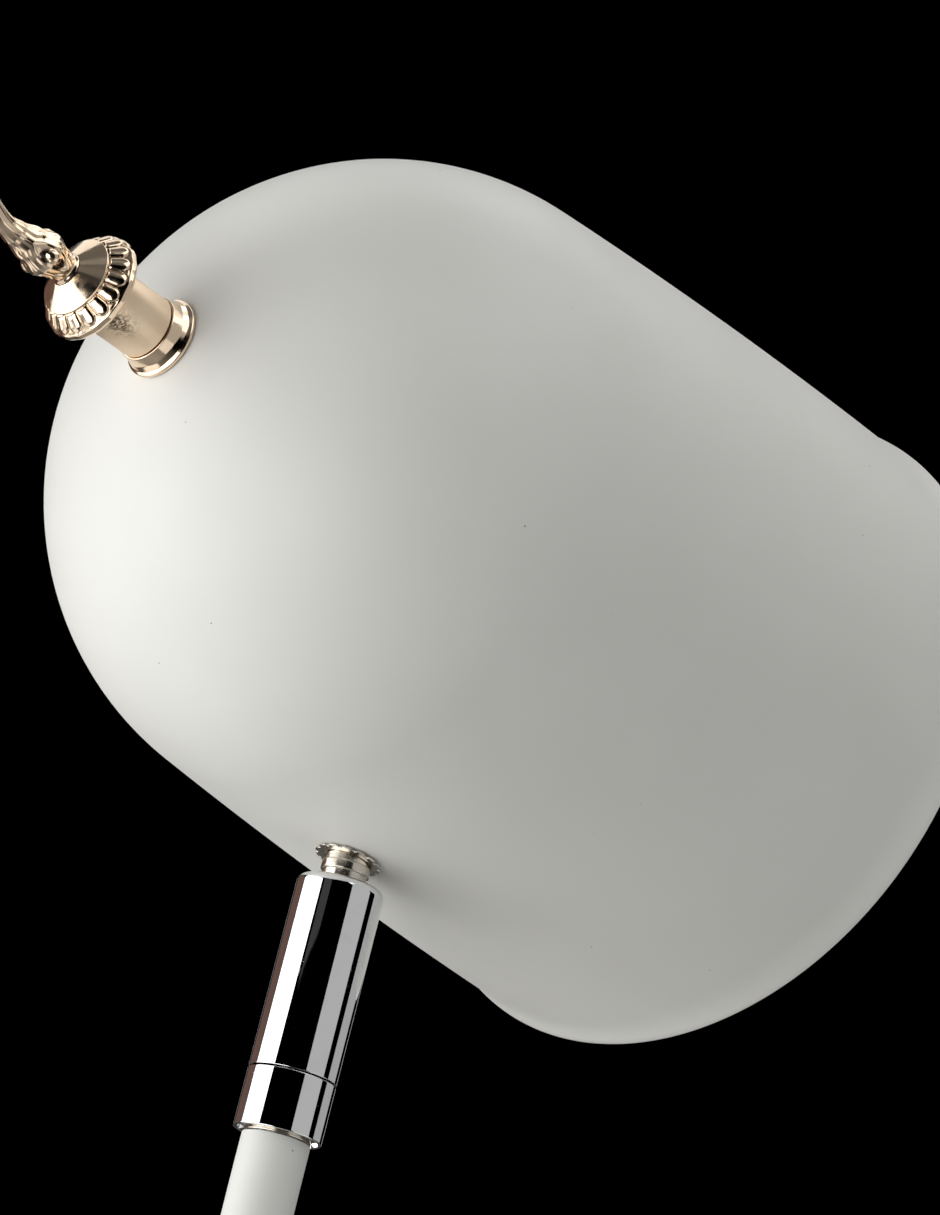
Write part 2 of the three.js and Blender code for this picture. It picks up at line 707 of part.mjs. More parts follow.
function buildLight(head, nutTop) {
  const capLow = nutTop + GAP;
  const capHigh = capLow + 16;
  const bodyHigh = capHigh + 30;
  const cap = [
    [FINIAL_STUD_R + GAP, capLow],
    [13, capLow],
    [HOLDER_R, capLow + 6],
    [HOLDER_R, capHigh],
    [HOLDER_R - 2, capHigh],
    [HOLDER_R - 2, capLow + 8],
    [FINIAL_STUD_R + GAP, capLow + 4],
  ];
  const leadHole = disc(WIRE_R + 0.6, 0, 40, 10).rotateY(Math.PI / 2);
  leadHole.translate(0, 0, capLow + 11);
  piece(head, "lampholder_cap", cut(turned(cap, 20), leadHole), BLACK_PLASTIC);

  const floor = capHigh + 6;
  const body = [
    [0, capHigh + GAP],
    [HOLDER_R, capHigh + GAP],
    [HOLDER_R, capHigh + 6],
    [BULB_THREAD_R + 3, capHigh + 7],
    [BULB_THREAD_R + 3, bodyHigh],
    [BULB_THREAD_R + 0.8, bodyHigh],
    [BULB_THREAD_R + 0.8, floor],
    [0, floor],
  ];
  piece(head, "lampholder_body", turned(body, 20), BLACK_PLASTIC);
  const collarLow = capHigh + 10;
  const collar = ring(HOLDER_R + 3, BULB_THREAD_R + 3.4, collarLow, collarLow + 5, 20);
  piece(head, "lampholder_ring", collar, BLACK_PLASTIC);

  const contactLow = floor + GAP;
  piece(head, "bulb_contact", disc(4.5, contactLow, contactLow + 2, 12), STEEL);
  const bulbCapLow = contactLow + 2 + GAP;
  const bulbCapHigh = bulbCapLow + 24;
  const bulbCap = [
    [0, bulbCapLow],
    [8, bulbCapLow],
    [BULB_THREAD_R, bulbCapLow + 4],
    [BULB_THREAD_R, bulbCapHigh],
    [0, bulbCapHigh],
  ];
  piece(head, "bulb_cap", turned(bulbCap, 16), NICKEL);
  const glassLow = bulbCapHigh + GAP;
  piece(head, "bulb_globe", turned(bulbOutline(glassLow), 20), OPAL_GLASS);
  return capLow + 11;
}

// Glass of the bulb: a pear-shaped shell, open at its cap.
function bulbOutline(low) {
  const outer = [
    [13, 0],
    [15, 10],
    [BULB_R - 6, 32],
    [BULB_R, 48],
    [BULB_R - 3, 63],
    [BULB_R - 12, 74],
    [0, 78],
  ];
  const inner = outer.map(([radius, height]) => [
    Math.max(0, radius - BULB_T),
    height === 0 ? 0 : height - BULB_T,
  ]);
  return [...outer, ...inner.reverse()].map(([radius, height]) => [radius, low + height]);
}

// The lead from the swivel through the nipple to the side of the lampholder cap.
function buildHeadLead(top, entryStation) {
  const toTube = shadePlacement();
  const inShade = (radius, station) => new THREE.Vector3(radius, 0, station).applyMatrix4(toTube);
  const entry = inShade(HOLDER_R - 1.2, entryStation);
  const route = new THREE.CatmullRomCurve3([
    new THREE.Vector3(0, 0, SEAM_Z + 0.2),
    new THREE.Vector3(0, 0, SEAM_Z + 30),
    new THREE.Vector3(0, 0, BARREL_TOP),
    new THREE.Vector3(0, 0, JOINT_Z + 17),
    inShade(70, 27),
    inShade(56, 8),
    inShade(46, -18),
    inShade(37, -48),
    inShade(28, entryStation + 1),
    entry,
  ]);
  piece(top, "head_wire", swept(route, WIRE_R, 0, 8, 30), LEAD_SHEATH);
}

// ---------------------------------------------------------------- assembly

function buildLamp() {
  const lamp = new THREE.Group();
  buildBase(lamp);
  buildFoot(lamp);
  buildStem(lamp);
  buildStemLead(lamp);

  const top = new THREE.Group();
  const end = stemAt(STEM_L);
  top.position.set(end.x, 0, end.z);
  top.rotation.y = end.lean;
  lamp.add(top);
  buildSwivelBase(top);
  buildBarrel(top);
  buildNipple(top, shadeHollow());

  const head = new THREE.Group();
  shadePlacement().decompose(head.position, head.quaternion, head.scale);
  top.add(head);
  buildShade(head);
  buildFinial(head);
  const nutTop = buildFinialFixing(head);
  const entryStation = buildLight(head, nutTop);
  buildHeadLead(top, entryStation);
  return lamp;
}

export default buildLamp();
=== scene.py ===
"""Looks for a bow-stemmed floor lamp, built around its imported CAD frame.

A weighted disc base carries a sectional white stem. A chrome swivel on its top end turns a white bell
shade, whose crown holds a gilt finial. Lengths in the classes are millimetres, and meshes are metres.
"""

from __future__ import annotations

import json
import logging
import math
from dataclasses import dataclass, field
from enum import Enum
from typing import Any, Callable, Protocol, Sequence

import bmesh
import bpy
import numpy as np
from mathutils import Matrix, Vector

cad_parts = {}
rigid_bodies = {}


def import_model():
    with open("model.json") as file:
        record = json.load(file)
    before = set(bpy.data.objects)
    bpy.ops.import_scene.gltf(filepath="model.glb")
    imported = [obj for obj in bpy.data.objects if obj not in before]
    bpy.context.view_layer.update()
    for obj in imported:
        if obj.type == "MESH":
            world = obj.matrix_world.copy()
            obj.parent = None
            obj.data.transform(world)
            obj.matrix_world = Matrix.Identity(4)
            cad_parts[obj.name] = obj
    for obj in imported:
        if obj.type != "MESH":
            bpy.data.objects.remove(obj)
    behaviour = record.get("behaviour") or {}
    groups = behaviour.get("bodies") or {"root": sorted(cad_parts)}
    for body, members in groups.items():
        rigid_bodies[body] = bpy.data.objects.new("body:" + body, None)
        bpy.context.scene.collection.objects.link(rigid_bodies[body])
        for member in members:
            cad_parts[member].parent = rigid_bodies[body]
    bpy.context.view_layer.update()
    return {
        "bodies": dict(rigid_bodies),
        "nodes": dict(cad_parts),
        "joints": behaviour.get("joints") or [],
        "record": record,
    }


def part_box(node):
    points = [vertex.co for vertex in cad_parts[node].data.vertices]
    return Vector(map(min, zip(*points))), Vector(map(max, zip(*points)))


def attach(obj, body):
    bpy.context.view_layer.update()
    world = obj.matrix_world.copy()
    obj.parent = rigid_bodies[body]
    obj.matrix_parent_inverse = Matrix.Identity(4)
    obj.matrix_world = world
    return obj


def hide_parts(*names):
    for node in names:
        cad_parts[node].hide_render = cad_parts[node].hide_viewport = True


MM = 0.001
GUARD = 0.15  # straight length kept beside each softened corner, so that flats stay flat in reflections
SHARP = math.radians(40)  # edges that turn more than this stay crisp
SIDEWAYS = Vector((0.0, 1.0, 0.0))

Point = tuple[float, float]
Colour = tuple[float, float, float]
Relief = Callable[[np.ndarray, float, float], np.ndarray]
Socket = bpy.types.NodeSocket
Material = bpy.types.Material
Mesh = bpy.types.Mesh
Piece = bpy.types.Object
log = logging.getLogger("lamp")


class Body(Enum):
    """The two moving bodies of the frame."""

    STAND = "stand"
    HEAD = "head"


class Slot(Enum):
    """The record's material slots."""

    WHITE_COAT = "white_coat"
    CHROME = "chrome"
    NICKEL = "nickel"
    GILT = "gilt"
    STEEL = "steel"
    CAST_IRON = "cast_iron"
    FELT = "felt"
    BLACK_PLASTIC = "black_plastic"
    OPAL_GLASS = "opal_glass"
    LEAD_SHEATH = "lead_sheath"


# ------------------------------------------------------------------------------------ material nodes


class NodeBench:
    """One material's node tree, with short calls for the nodes that the finishes share."""

    def __init__(self, name: str) -> None:
        """Start a material that holds one Principled shader.

        Args:
            name: The material's name.
        """
        self.material = bpy.data.materials.new(name)
        self.material.use_nodes = True
        self.tree = self.material.node_tree
        self.tree.nodes.clear()
        self.shader = self.tree.nodes.new("ShaderNodeBsdfPrincipled")
        output = self.tree.nodes.new("ShaderNodeOutputMaterial")
        self.tree.links.new(self.shader.outputs["BSDF"], output.inputs["Surface"])
        self.place = self.tree.nodes.new("ShaderNodeTexCoord").outputs["Object"]

    def feed(self, target: Socket, source: Socket | float) -> None:
        """Link a socket into another, or set it to a plain value.

        Args:
            target: The socket that takes the value.
            source: The socket to link, or the plain value.
        """
        if isinstance(source, Socket):
            self.tree.links.new(source, target)
        else:
            target.default_value = source

    def set(self, **values: float | tuple[float, ...]) -> None:
        """Set plain values on the shader, with underscores for the spaces in its socket names."""
        for name, value in values.items():
            self.shader.inputs[name.replace("_", " ").title().replace("Ior", "IOR")].default_value = value

    def stretched(self, scale: tuple[float, float, float]) -> Socket:
        """Scale the object's coordinates.

        Args:
            scale: The factor on each axis.

        Returns:
            The scaled coordinates' socket.
        """
        node = self.tree.nodes.new("ShaderNodeMapping")
        node.inputs["Scale"].default_value = scale
        self.feed(node.inputs["Vector"], self.place)
        return node.outputs["Vector"]

    def noise(
        self,
        scale: float,
        detail: float = 3.0,
        warp: float = 0.0,
        place: Socket | None = None,
    ) -> Socket:
        """Return a noise value.

        Args:
            scale: Features in a metre.
            detail: Octaves of finer noise.
            warp: How much the noise distorts itself.
            place: The coordinates, or None for the object's own.

        Returns:
            The noise's factor socket.
        """
        node = self.tree.nodes.new("ShaderNodeTexNoise")
        node.inputs["Scale"].default_value = scale
        node.inputs["Detail"].default_value = detail
        node.inputs["Distortion"].default_value = warp
        self.feed(node.inputs["Vector"], place or self.place)
        return node.outputs["Fac"]

    def cells(self, scale: float) -> Socket:
        """Measure the distance to the nearest of some scattered points.

        Args:
            scale: Points in a metre.

        Returns:
            The distance's socket.
        """
        node = self.tree.nodes.new("ShaderNodeTexVoronoi")
        node.inputs["Scale"].default_value = scale
        self.feed(node.inputs["Vector"], self.place)
        return node.outputs["Distance"]

    def spread(
        self, value: Socket, low: float, high: float, start: float = 0.0, end: float = 1.0
    ) -> Socket:
        """Map a value's stretch between low and high to start and end, and hold it there.

        Args:
            value: The value's socket.
            low: The input that gives start.
            high: The input that gives end.
            start: The first output.
            end: The last output.

        Returns:
            The mapped value's socket.
        """
        node = self.tree.nodes.new("ShaderNodeMapRange")
        settings = (("From Min", low), ("From Max", high), ("To Min", start), ("To Max", end))
        for name, number in settings:
            node.inputs[name].default_value = number
        self.feed(node.inputs["Value"], value)
        return node.outputs["Result"]

    def joined(self, first: Socket, second: Socket, how: str = "MULTIPLY") -> Socket:
        """Combine two values.

        Args:
            first: The first value's socket.
            second: The second value's socket.
            how: The Math node's operation.

        Returns:
            The result's socket.
        """
        node = self.tree.nodes.new("ShaderNodeMath")
        node.operation = how
        self.feed(node.inputs[0], first)
        self.feed(node.inputs[1], second)
        return node.outputs["Value"]

    def tint(self, amount: Socket, plain: Colour | Socket, toned: Colour) -> Socket:
        """Mix two colours.

        Args:
            amount: The share of the second colour.
            plain: The colour where amount is 0.
            toned: The colour where amount is 1.

        Returns:
            The mixed colour's socket.
        """
        node = self.tree.nodes.new("ShaderNodeMix")
        node.data_type = "RGBA"
        self.feed(node.inputs[0], amount)
        first, second = node.inputs[6], node.inputs[7]
        self.feed(first, plain if isinstance(plain, Socket) else (*plain, 1.0))
        self.feed(second, (*toned, 1.0))
        return node.outputs[2]

    def paint(self, amount: Socket, plain: Colour | Socket, toned: Colour) -> None:
        """Feed a mix of two colours to the shader; the arguments are those of tint."""
        self.feed(self.shader.inputs["Base Color"], self.tint(amount, plain, toned))

    def shine(self, value: Socket, low: float, high: float, start: float, end: float) -> None:
        """Feed a roughness to the shader; the arguments are those of spread."""
        self.feed(self.shader.inputs["Roughness"], self.spread(value, low, high, start, end))

    def carried(self, name: str) -> Socket:
        """Read a value that the mesh carries on its points.

        Args:
            name: The value's name.

        Returns:
            Its socket.
        """
        node = self.tree.nodes.new("ShaderNodeAttribute")
        node.attribute_name = name
        return node.outputs["Fac"]

    def raise_by(self, height: Socket, depth: float, strength: float = 1.0) -> None:
        """Add a bump to the shader's normal, over any bump that is already there.

        Args:
            height: The bump's height, from 0 to 1.
            depth: The real height of a full step, in millimetres.
            strength: How much of the bump is used.
        """
        node = self.tree.nodes.new("ShaderNodeBump")
        node.inputs["Strength"].default_value = strength
        node.inputs["Distance"].default_value = depth * MM
        self.feed(node.inputs["Height"], height)
        links = self.shader.inputs["Normal"].links
        if links:
            self.feed(node.inputs["Normal"], links[0].from_socket)
        self.feed(self.shader.inputs["Normal"], node.outputs["Normal"])


# ------------------------------------------------------------------------------------------ finishes


class Finish(Protocol):
    """What every finish of the lamp gives: the record's slot for it, and its material."""

    slot: Slot

    def material(self) -> Material:
        """Return the finish's material."""


@dataclass(frozen=True)
class Dressing:
    """A finish's material, with the record's slot for it."""

    material: Material
    slot: Slot


def made(finish: Finish) -> Any:
    """Return a field that makes a finish into the one material that its pieces share."""
    return field(default_factory=lambda: Dressing(finish.material(), finish.slot))


@dataclass(frozen=True)
class PowderCoat:
    """Satin white powder coat: faint orange peel, soft tone drift and a few dust specks."""

    name: str = "white_powder_coat"
    colour: Colour = (0.778, 0.776, 0.735)
    drift: Colour = (0.748, 0.747, 0.706)
    speck: Colour = (0.12, 0.11, 0.10)
    roughness: float = 0.46
    slot: Slot = Slot.WHITE_COAT

    def material(self) -> Material:
        """Return the finish's material.

        Returns:
            The material.
        """
        bench = NodeBench(self.name)
        tone = bench.spread(bench.noise(14.0, 2.0), 0.35, 0.65)
        base = bench.tint(tone, self.colour, self.drift)
        specks = bench.spread(bench.cells(105.0), 0.020, 0.028, 1.0, 0.0)
        kept = bench.spread(bench.noise(37.0, 1.0), 0.50, 0.56)
        dust = bench.joined(specks, kept)
        bench.paint(dust, base, self.speck)
        gloss = bench.noise(60.0, 4.0)
        bench.shine(gloss, 0.3, 0.7, self.roughness - 0.04, self.roughness + 0.05)
        bench.set(specular_ior_level=0.5)
        bench.raise_by(bench.noise(650.0, 2.0), 0.05, 0.35)
        bench.raise_by(bench.noise(2600.0, 2.0), 0.012, 0.3)
        return bench.material


@dataclass(frozen=True)
class Plating:
    """Plated or plain metal: fine pits, hairline scratches and cloudy wear in the shine."""

    name: str
    slot: Slot
    colour: Colour
    worn: Colour
    roughness: float
    cloud: float = 0.05
    ripple: float = 0.0
    pits: float = 0.3
    brushed: float = 0.0

    def material(self) -> Material:
        """Return the finish's material.

        Returns:
            The material.
        """
        bench = NodeBench(self.name)
        wear = bench.spread(bench.noise(180.0, 5.0, 0.4), 0.5, 0.75)
        bench.paint(wear, self.colour, self.worn)
        bench.set(metallic=1.0)
        haze = bench.noise(420.0, 5.0, 0.3)
        bench.shine(haze, 0.45, 0.8, self.roughness, self.roughness + self.cloud)
        if self.ripple > 0.0:
            bench.raise_by(bench.noise(75.0, 2.0, 0.2), self.ripple)
        if self.brushed > 0.0:
            grain = bench.noise(90.0, 4.0, 0.0, bench.stretched((1.0, 1.0, 60.0)))
            bench.raise_by(grain, 0.01, self.brushed)
        scattered = bench.spread(bench.cells(800.0), 0.05, 0.14, 0.0, 1.0)
        chance = bench.spread(bench.noise(260.0, 1.0), 0.56, 0.6, 1.0, 0.0)
        bench.raise_by(bench.joined(scattered, chance, "MAXIMUM"), 0.02, self.pits)
        scratch = bench.noise(70.0, 2.0, 0.6, bench.stretched((14.0, 14.0, 0.9)))
        bench.raise_by(bench.spread(scratch, 0.68, 0.70), 0.003, 0.35)
        return bench.material


@dataclass(frozen=True)
class Gilding:
    """Pale rose-gold plating whose hollows are darkened with painted shade and patina; satin gilding adds
    grain and a rubbed dark patch.
    """

    name: str
    satin: bool
    colour: Colour = (0.86, 0.67, 0.48)
    # toned is the colour painted into the hollows: painted shade there, with patina.
    toned: Colour = (0.30, 0.19, 0.11)
    worn: Colour = (0.93, 0.80, 0.66)
    rubbed: Colour = (0.05, 0.035, 0.022)
    slot: Slot = Slot.GILT

    def material(self) -> Material:
        """Return the finish's material.

        Returns:
            The material.
        """
        bench = NodeBench(self.name)
        # Painted shade with patina: the hollows' mark, broken up by noise, darkens the gold towards toned.
        hollow = bench.spread(bench.carried("hollow"), 0.15, 1.0)
        mottled = bench.spread(bench.noise(300.0, 4.0), 0.35, 0.6)
        patina_and_shade = bench.joined(hollow, mottled)
        base = bench.tint(patina_and_shade, self.colour, self.toned)
        worn = bench.spread(bench.noise(120.0, 3.0), 0.4, 0.7, 0.0, 0.25)
        base = bench.tint(worn, base, self.worn)
        if self.satin:
            rubbed = bench.carried("rubbed")
            speckle = bench.spread(bench.noise(900.0, 3.0, 1.0), 0.42, 0.52)
            base = bench.tint(bench.joined(rubbed, speckle), base, self.rubbed)
        bench.feed(bench.shader.inputs["Base Color"], base)
        bench.set(metallic=1.0)
        low, high = (0.36, 0.46) if self.satin else (0.10, 0.24)
        bench.shine(bench.noise(350.0, 4.0), 0.4, 0.75, low, high)
        bench.raise_by(bench.noise(420.0, 3.0, 0.5), 0.03, 0.35 if self.satin else 0.1)
        bench.raise_by(bench.noise(2400.0, 2.0), 0.008, 0.5 if self.satin else 0.1)
        pits = bench.spread(bench.cells(650.0), 0.04, 0.12)
        bench.raise_by(pits, 0.02, 0.25)
        return bench.material


@dataclass(frozen=True)
class CastIron:
    """Rough cast iron under a thin black paint, with rust showing in its pores."""

    name: str = "painted_cast_iron"
    colour: Colour = (0.035, 0.035, 0.037)
    rust: Colour = (0.16, 0.07, 0.035)
    slot: Slot = Slot.CAST_IRON

    def material(self) -> Material:
        """Return the finish's material.

        Returns:
            The material.
        """
        bench = NodeBench(self.name)
        pores = bench.spread(bench.noise(260.0, 6.0, 0.5), 0.62, 0.72)
        bench.paint(pores, self.colour, self.rust)
        bench.shine(bench.noise(90.0, 4.0), 0.3, 0.7, 0.62, 0.88)
        bench.raise_by(bench.noise(500.0, 6.0), 0.35, 0.8)
        return bench.material


@dataclass(frozen=True)
class Felt:
    """Pressed charcoal wool felt with matted fibres."""

    name: str = "charcoal_felt"
    colour: Colour = (0.022, 0.022, 0.026)
    fibre: Colour = (0.075, 0.072, 0.075)
    slot: Slot = Slot.FELT

    def material(self) -> Material:
        """Return the finish's material.

        Returns:
            The material.
        """
        bench = NodeBench(self.name)
        tangled = bench.noise(520.0, 6.0, 2.5)
        strands = bench.spread(tangled, 0.52, 0.68)
        bench.paint(strands, self.colour, self.fibre)
        bench.shine(tangled, 0.3, 0.7, 0.85, 1.0)
        bench.set(sheen_weight=0.6, sheen_roughness=0.5)
        bench.raise_by(tangled, 0.3, 0.9)
        return bench.material


@dataclass(frozen=True)
class MouldedPlastic:
    """Moulded phenolic plastic: near black, with flow marks and a fine leathered skin."""

    name: str = "moulded_black_plastic"
    colour: Colour = (0.012, 0.012, 0.014)
    bloom: Colour = (0.034, 0.032, 0.031)
    slot: Slot = Slot.BLACK_PLASTIC

    def material(self) -> Material:
        """Return the finish's material.

        Returns:
            The material.
        """
        bench = NodeBench(self.name)
        flow = bench.spread(bench.noise(60.0, 4.0, 1.5), 0.4, 0.75)
        bench.paint(flow, self.colour, self.bloom)
        bench.shine(flow, 0.0, 1.0, 0.3, 0.48)
        bench.raise_by(bench.noise(1400.0, 3.0), 0.02, 0.4)
        return bench.material


@dataclass(frozen=True)
class OpalGlass:
    """Opal bulb glass: milky, glossy and faintly uneven."""

    name: str = "opal_bulb_glass"
    colour: Colour = (0.90, 0.885, 0.85)
    warm: Colour = (0.86, 0.82, 0.74)
    slot: Slot = Slot.OPAL_GLASS

    def material(self) -> Material:
        """Return the finish's material.

        Returns:
            The material.
        """
        bench = NodeBench(self.name)
        milk = bench.spread(bench.noise(45.0, 3.0), 0.35, 0.7)
        bench.paint(milk, self.colour, self.warm)
        bench.shine(bench.noise(80.0, 2.0), 0.3, 0.7, 0.1, 0.2)
        bench.set(subsurface_weight=0.35, subsurface_scale=0.004, coat_weight=0.3, coat_roughness=0.08)
        bench.raise_by(bench.noise(35.0, 1.0), 0.05, 0.3)
        return bench.material


@dataclass(frozen=True)
class LeadSheath:
    """Off-white flexible sheath on the internal lead, slightly matt with extrusion lines."""

    name: str = "lead_sheath"
    colour: Colour = (0.70, 0.685, 0.65)
    soiled: Colour = (0.56, 0.54, 0.50)
    slot: Slot = Slot.LEAD_SHEATH

    def material(self) -> Material:
        """Return the finish's material.

        Returns:
            The material.
        """
        bench = NodeBench(self.name)
        marks = bench.spread(bench.noise(130.0, 4.0, 0.5), 0.45, 0.7)
        bench.paint(marks, self.colour, self.soiled)
        bench.shine(marks, 0.0, 1.0, 0.5, 0.65)
        bench.raise_by(bench.noise(900.0, 3.0), 0.03, 0.5)
        return bench.material


@dataclass(frozen=True)
class StudioFloor:
    """Pale matt studio floor with a faint cloudy tone."""

    name: str = "studio_floor"
    colour: Colour = (0.62, 0.615, 0.60)
    cloud: Colour = (0.57, 0.565, 0.55)

    def material(self) -> Material:
        """Return the finish's material.

        Returns:
            The material.
        """
        bench = NodeBench(self.name)
        clouds = bench.spread(bench.noise(1.2, 4.0), 0.3, 0.7)
        bench.paint(clouds, self.colour, self.cloud)
        bench.shine(clouds, 0.0, 1.0, 0.7, 0.8)
        bench.raise_by(bench.noise(400.0, 3.0), 0.1, 0.3)
        return bench.material


@dataclass(frozen=True)
class FinishSet:
    """Every finish of the lamp, each made into one material."""

    coat: Dressing = made(PowderCoat())
    chrome: Dressing = made(
        Plating("chrome_plate", Slot.CHROME, (0.9, 0.9, 0.91), (0.84, 0.84, 0.85), 0.025, 0.03, 0.02, 0.35)
    )
    nickel: Dressing = made(
        Plating("nickel_plate", Slot.NICKEL, (0.74, 0.69, 0.61), (0.50, 0.44, 0.36), 0.16, 0.2, 0.03, 0.8)
    )
    steel: Dressing = made(
        Plating("turned_steel", Slot.STEEL, (0.52, 0.52, 0.53), (0.36, 0.34, 0.32), 0.3, 0.15, 0, 0.6, 0.5)
    )
    bright_gilt: Dressing = made(Gilding("bright_gilt", False))
    satin_gilt: Dressing = made(Gilding("satin_gilt", True))
    iron: Dressing = made(CastIron())
    felt: Dressing = made(Felt())
    plastic: Dressing = made(MouldedPlastic())
    glass: Dressing = made(OpalGlass())
    sheath: Dressing = made(LeadSheath())


# ------------------------------------------------------------------------------ outlines and turning


@dataclass(frozen=True)
class Corner:
    """One corner of a turned outline, with the radius that softens it."""

    radius: float
    height: float
    soften: float = 0.0

    def spot(self) -> Vector:
        """Return the corner as a flat point."""
        return Vector((self.radius, self.height))


def softened(corners: Sequence[Corner], closed: bool = True, steps: int = 5) -> list[Point]:
    """Round an outline's corners, with a short straight length beside each.

    Args:
        corners: The outline's corners in order.
        closed: Whether the last corner joins the first.
        steps: Segments in each rounded corner.

    Returns:
        The outline's points.
    """
    points: list[Point] = []
    for i, corner in enumerate(corners):
        here = corner.spot()
        at_end = not closed and i in (0, len(corners) - 1)
        if corner.soften == 0.0 or at_end:
            points.append(here.to_tuple())
            continue
        into = here - corners[i - 1].spot()
        out = corners[(i + 1) % len(corners)].spot() - here
        turn = into.angle(out)
        if turn < 1e-3:
            points.append(here.to_tuple())
            continue
        trim = min(corner.soften * math.tan(turn / 2), 0.48 * into.length, 0.48 * out.length)
        radius = trim / math.tan(turn / 2)
        start = here - into.normalized() * trim
        end = here + out.normalized() * trim
        inward = (out.normalized() - into.normalized()).normalized()
        centre = here + inward * (radius / math.cos(turn / 2))
        if into.length > 3 * (trim + GUARD):
            points.append((start - into.normalized() * GUARD).to_tuple())
        for k in range(steps + 1):
            share = k / steps
            blend = math.sin((1 - share) * turn), math.sin(share * turn)
            spot = centre + ((start - centre) * blend[0] + (end - centre) * blend[1]) / math.sin(turn)
            points.append(spot.to_tuple())
        if out.length > 3 * (trim + GUARD):
            points.append((end + out.normalized() * GUARD).to_tuple())
    return points


def ring_section(
    inner: float, outer: float, low: float, high: float, soften: tuple[float, float, float, float]
) -> list[Corner]:
    """Return a flat ring's four corners.

    Args:
        inner: The radius of its hole.
        outer: Its outer radius.
        low: Its lower face.
        high: Its upper face.
        soften: The radius that softens each corner, from the lower one at the hole and round.

    Returns:
        The corners.
    """
    spots = ((inner, low), (outer, low), (outer, high), (inner, high))
    return [Corner(*spot, radius) for spot, radius in zip(spots, soften)]


def divided(points: Sequence[Point], longest: float, closed: bool = True) -> list[Point]:
    """Add points to an outline, so that no edge along its height is longer than a length.

    Args:
        points: The outline's points.
        longest: The longest edge wanted.
        closed: Whether the last point joins the first.

    Returns:
        The outline with its added points.
    """
    result: list[Point] = []
    for i, here in enumerate(points):
        result.append(here)
        if i == len(points) - 1 and not closed:
            break
        ahead = points[(i + 1) % len(points)]
        pieces = max(1, math.ceil(abs(ahead[1] - here[1]) / longest))
        for k in range(1, pieces):
            share = k / pieces
            result.append((here[0] + (ahead[0] - here[0]) * share, here[1] + (ahead[1] - here[1]) * share))
    return result


@dataclass(frozen=True)
class Line:
    """A straight line that turned pieces share."""

    origin: Vector
    direction: Vector

    def placement(self) -> Matrix:
        """Lay local Z along the line, and keep local Y sideways.

        Returns:
            The matrix that does so.
        """
        along = self.direction.normalized()
        across = SIDEWAYS.cross(along).normalized()
        turn = Matrix((across, along.cross(across), along)).transposed().to_4x4()
        return Matrix.Translation(self.origin) @ turn

    def moved(self, distance: float) -> Line:
        """Return the same line with its origin moved along it by a distance in millimetres."""
        return Line(self.origin + self.direction.normalized() * distance * MM, self.direction)

    def tilted(self, degrees: float) -> Line:
        """Return the same line leaning further forwards about its origin.

        Args:
            degrees: How much further it leans.

        Returns:
            The leaning line.
        """
        turn = Matrix.Rotation(math.radians(degrees), 3, SIDEWAYS)
        return Line(self.origin, turn @ self.direction)

    def turned_back(self) -> Line:
        """Return the line running the other way from the same origin."""
        return Line(self.origin, -self.direction)


class Route:
    """A line in a plane that pieces are turned about; the plain one is straight."""

    def at(self, distance: float) -> tuple[Vector, Vector]:
        """Return the point at a distance, and the direction in the plane across the line there.

        Args:
            distance: Millimetres along the route.

        Returns:
            The point and the unit direction across the route.
        """
        return Vector((0.0, 0.0, distance)), Vector((1.0, 0.0, 0.0))


def eased(rows: Sequence[Any], share: float) -> Any:
    """Return a point on the smooth line through four evenly spaced points.

    Args:
        rows: The four points.
        share: How far the point lies from the second point to the third, from 0 to 1.

    Returns:
        The point.
    """
    return (
        2 * rows[1]
        + (rows[2] - rows[0]) * share
        + (2 * rows[0] - 5 * rows[1] + 4 * rows[2] - rows[3]) * share**2
        + (3 * rows[1] - rows[0] - 3 * rows[2] + rows[3]) * share**3
    ) / 2


def signed_area(points: Sequence[Point]) -> float:
    """Return an outline's area, above zero if it runs anticlockwise.

    Args:
        points: The outline's points.

    Returns:
        The area.
    """
    total = 0.0
    for i, (x, y) in enumerate(points):
        after = points[(i + 1) % len(points)]
        total += x * after[1] - after[0] * y
    return total / 2


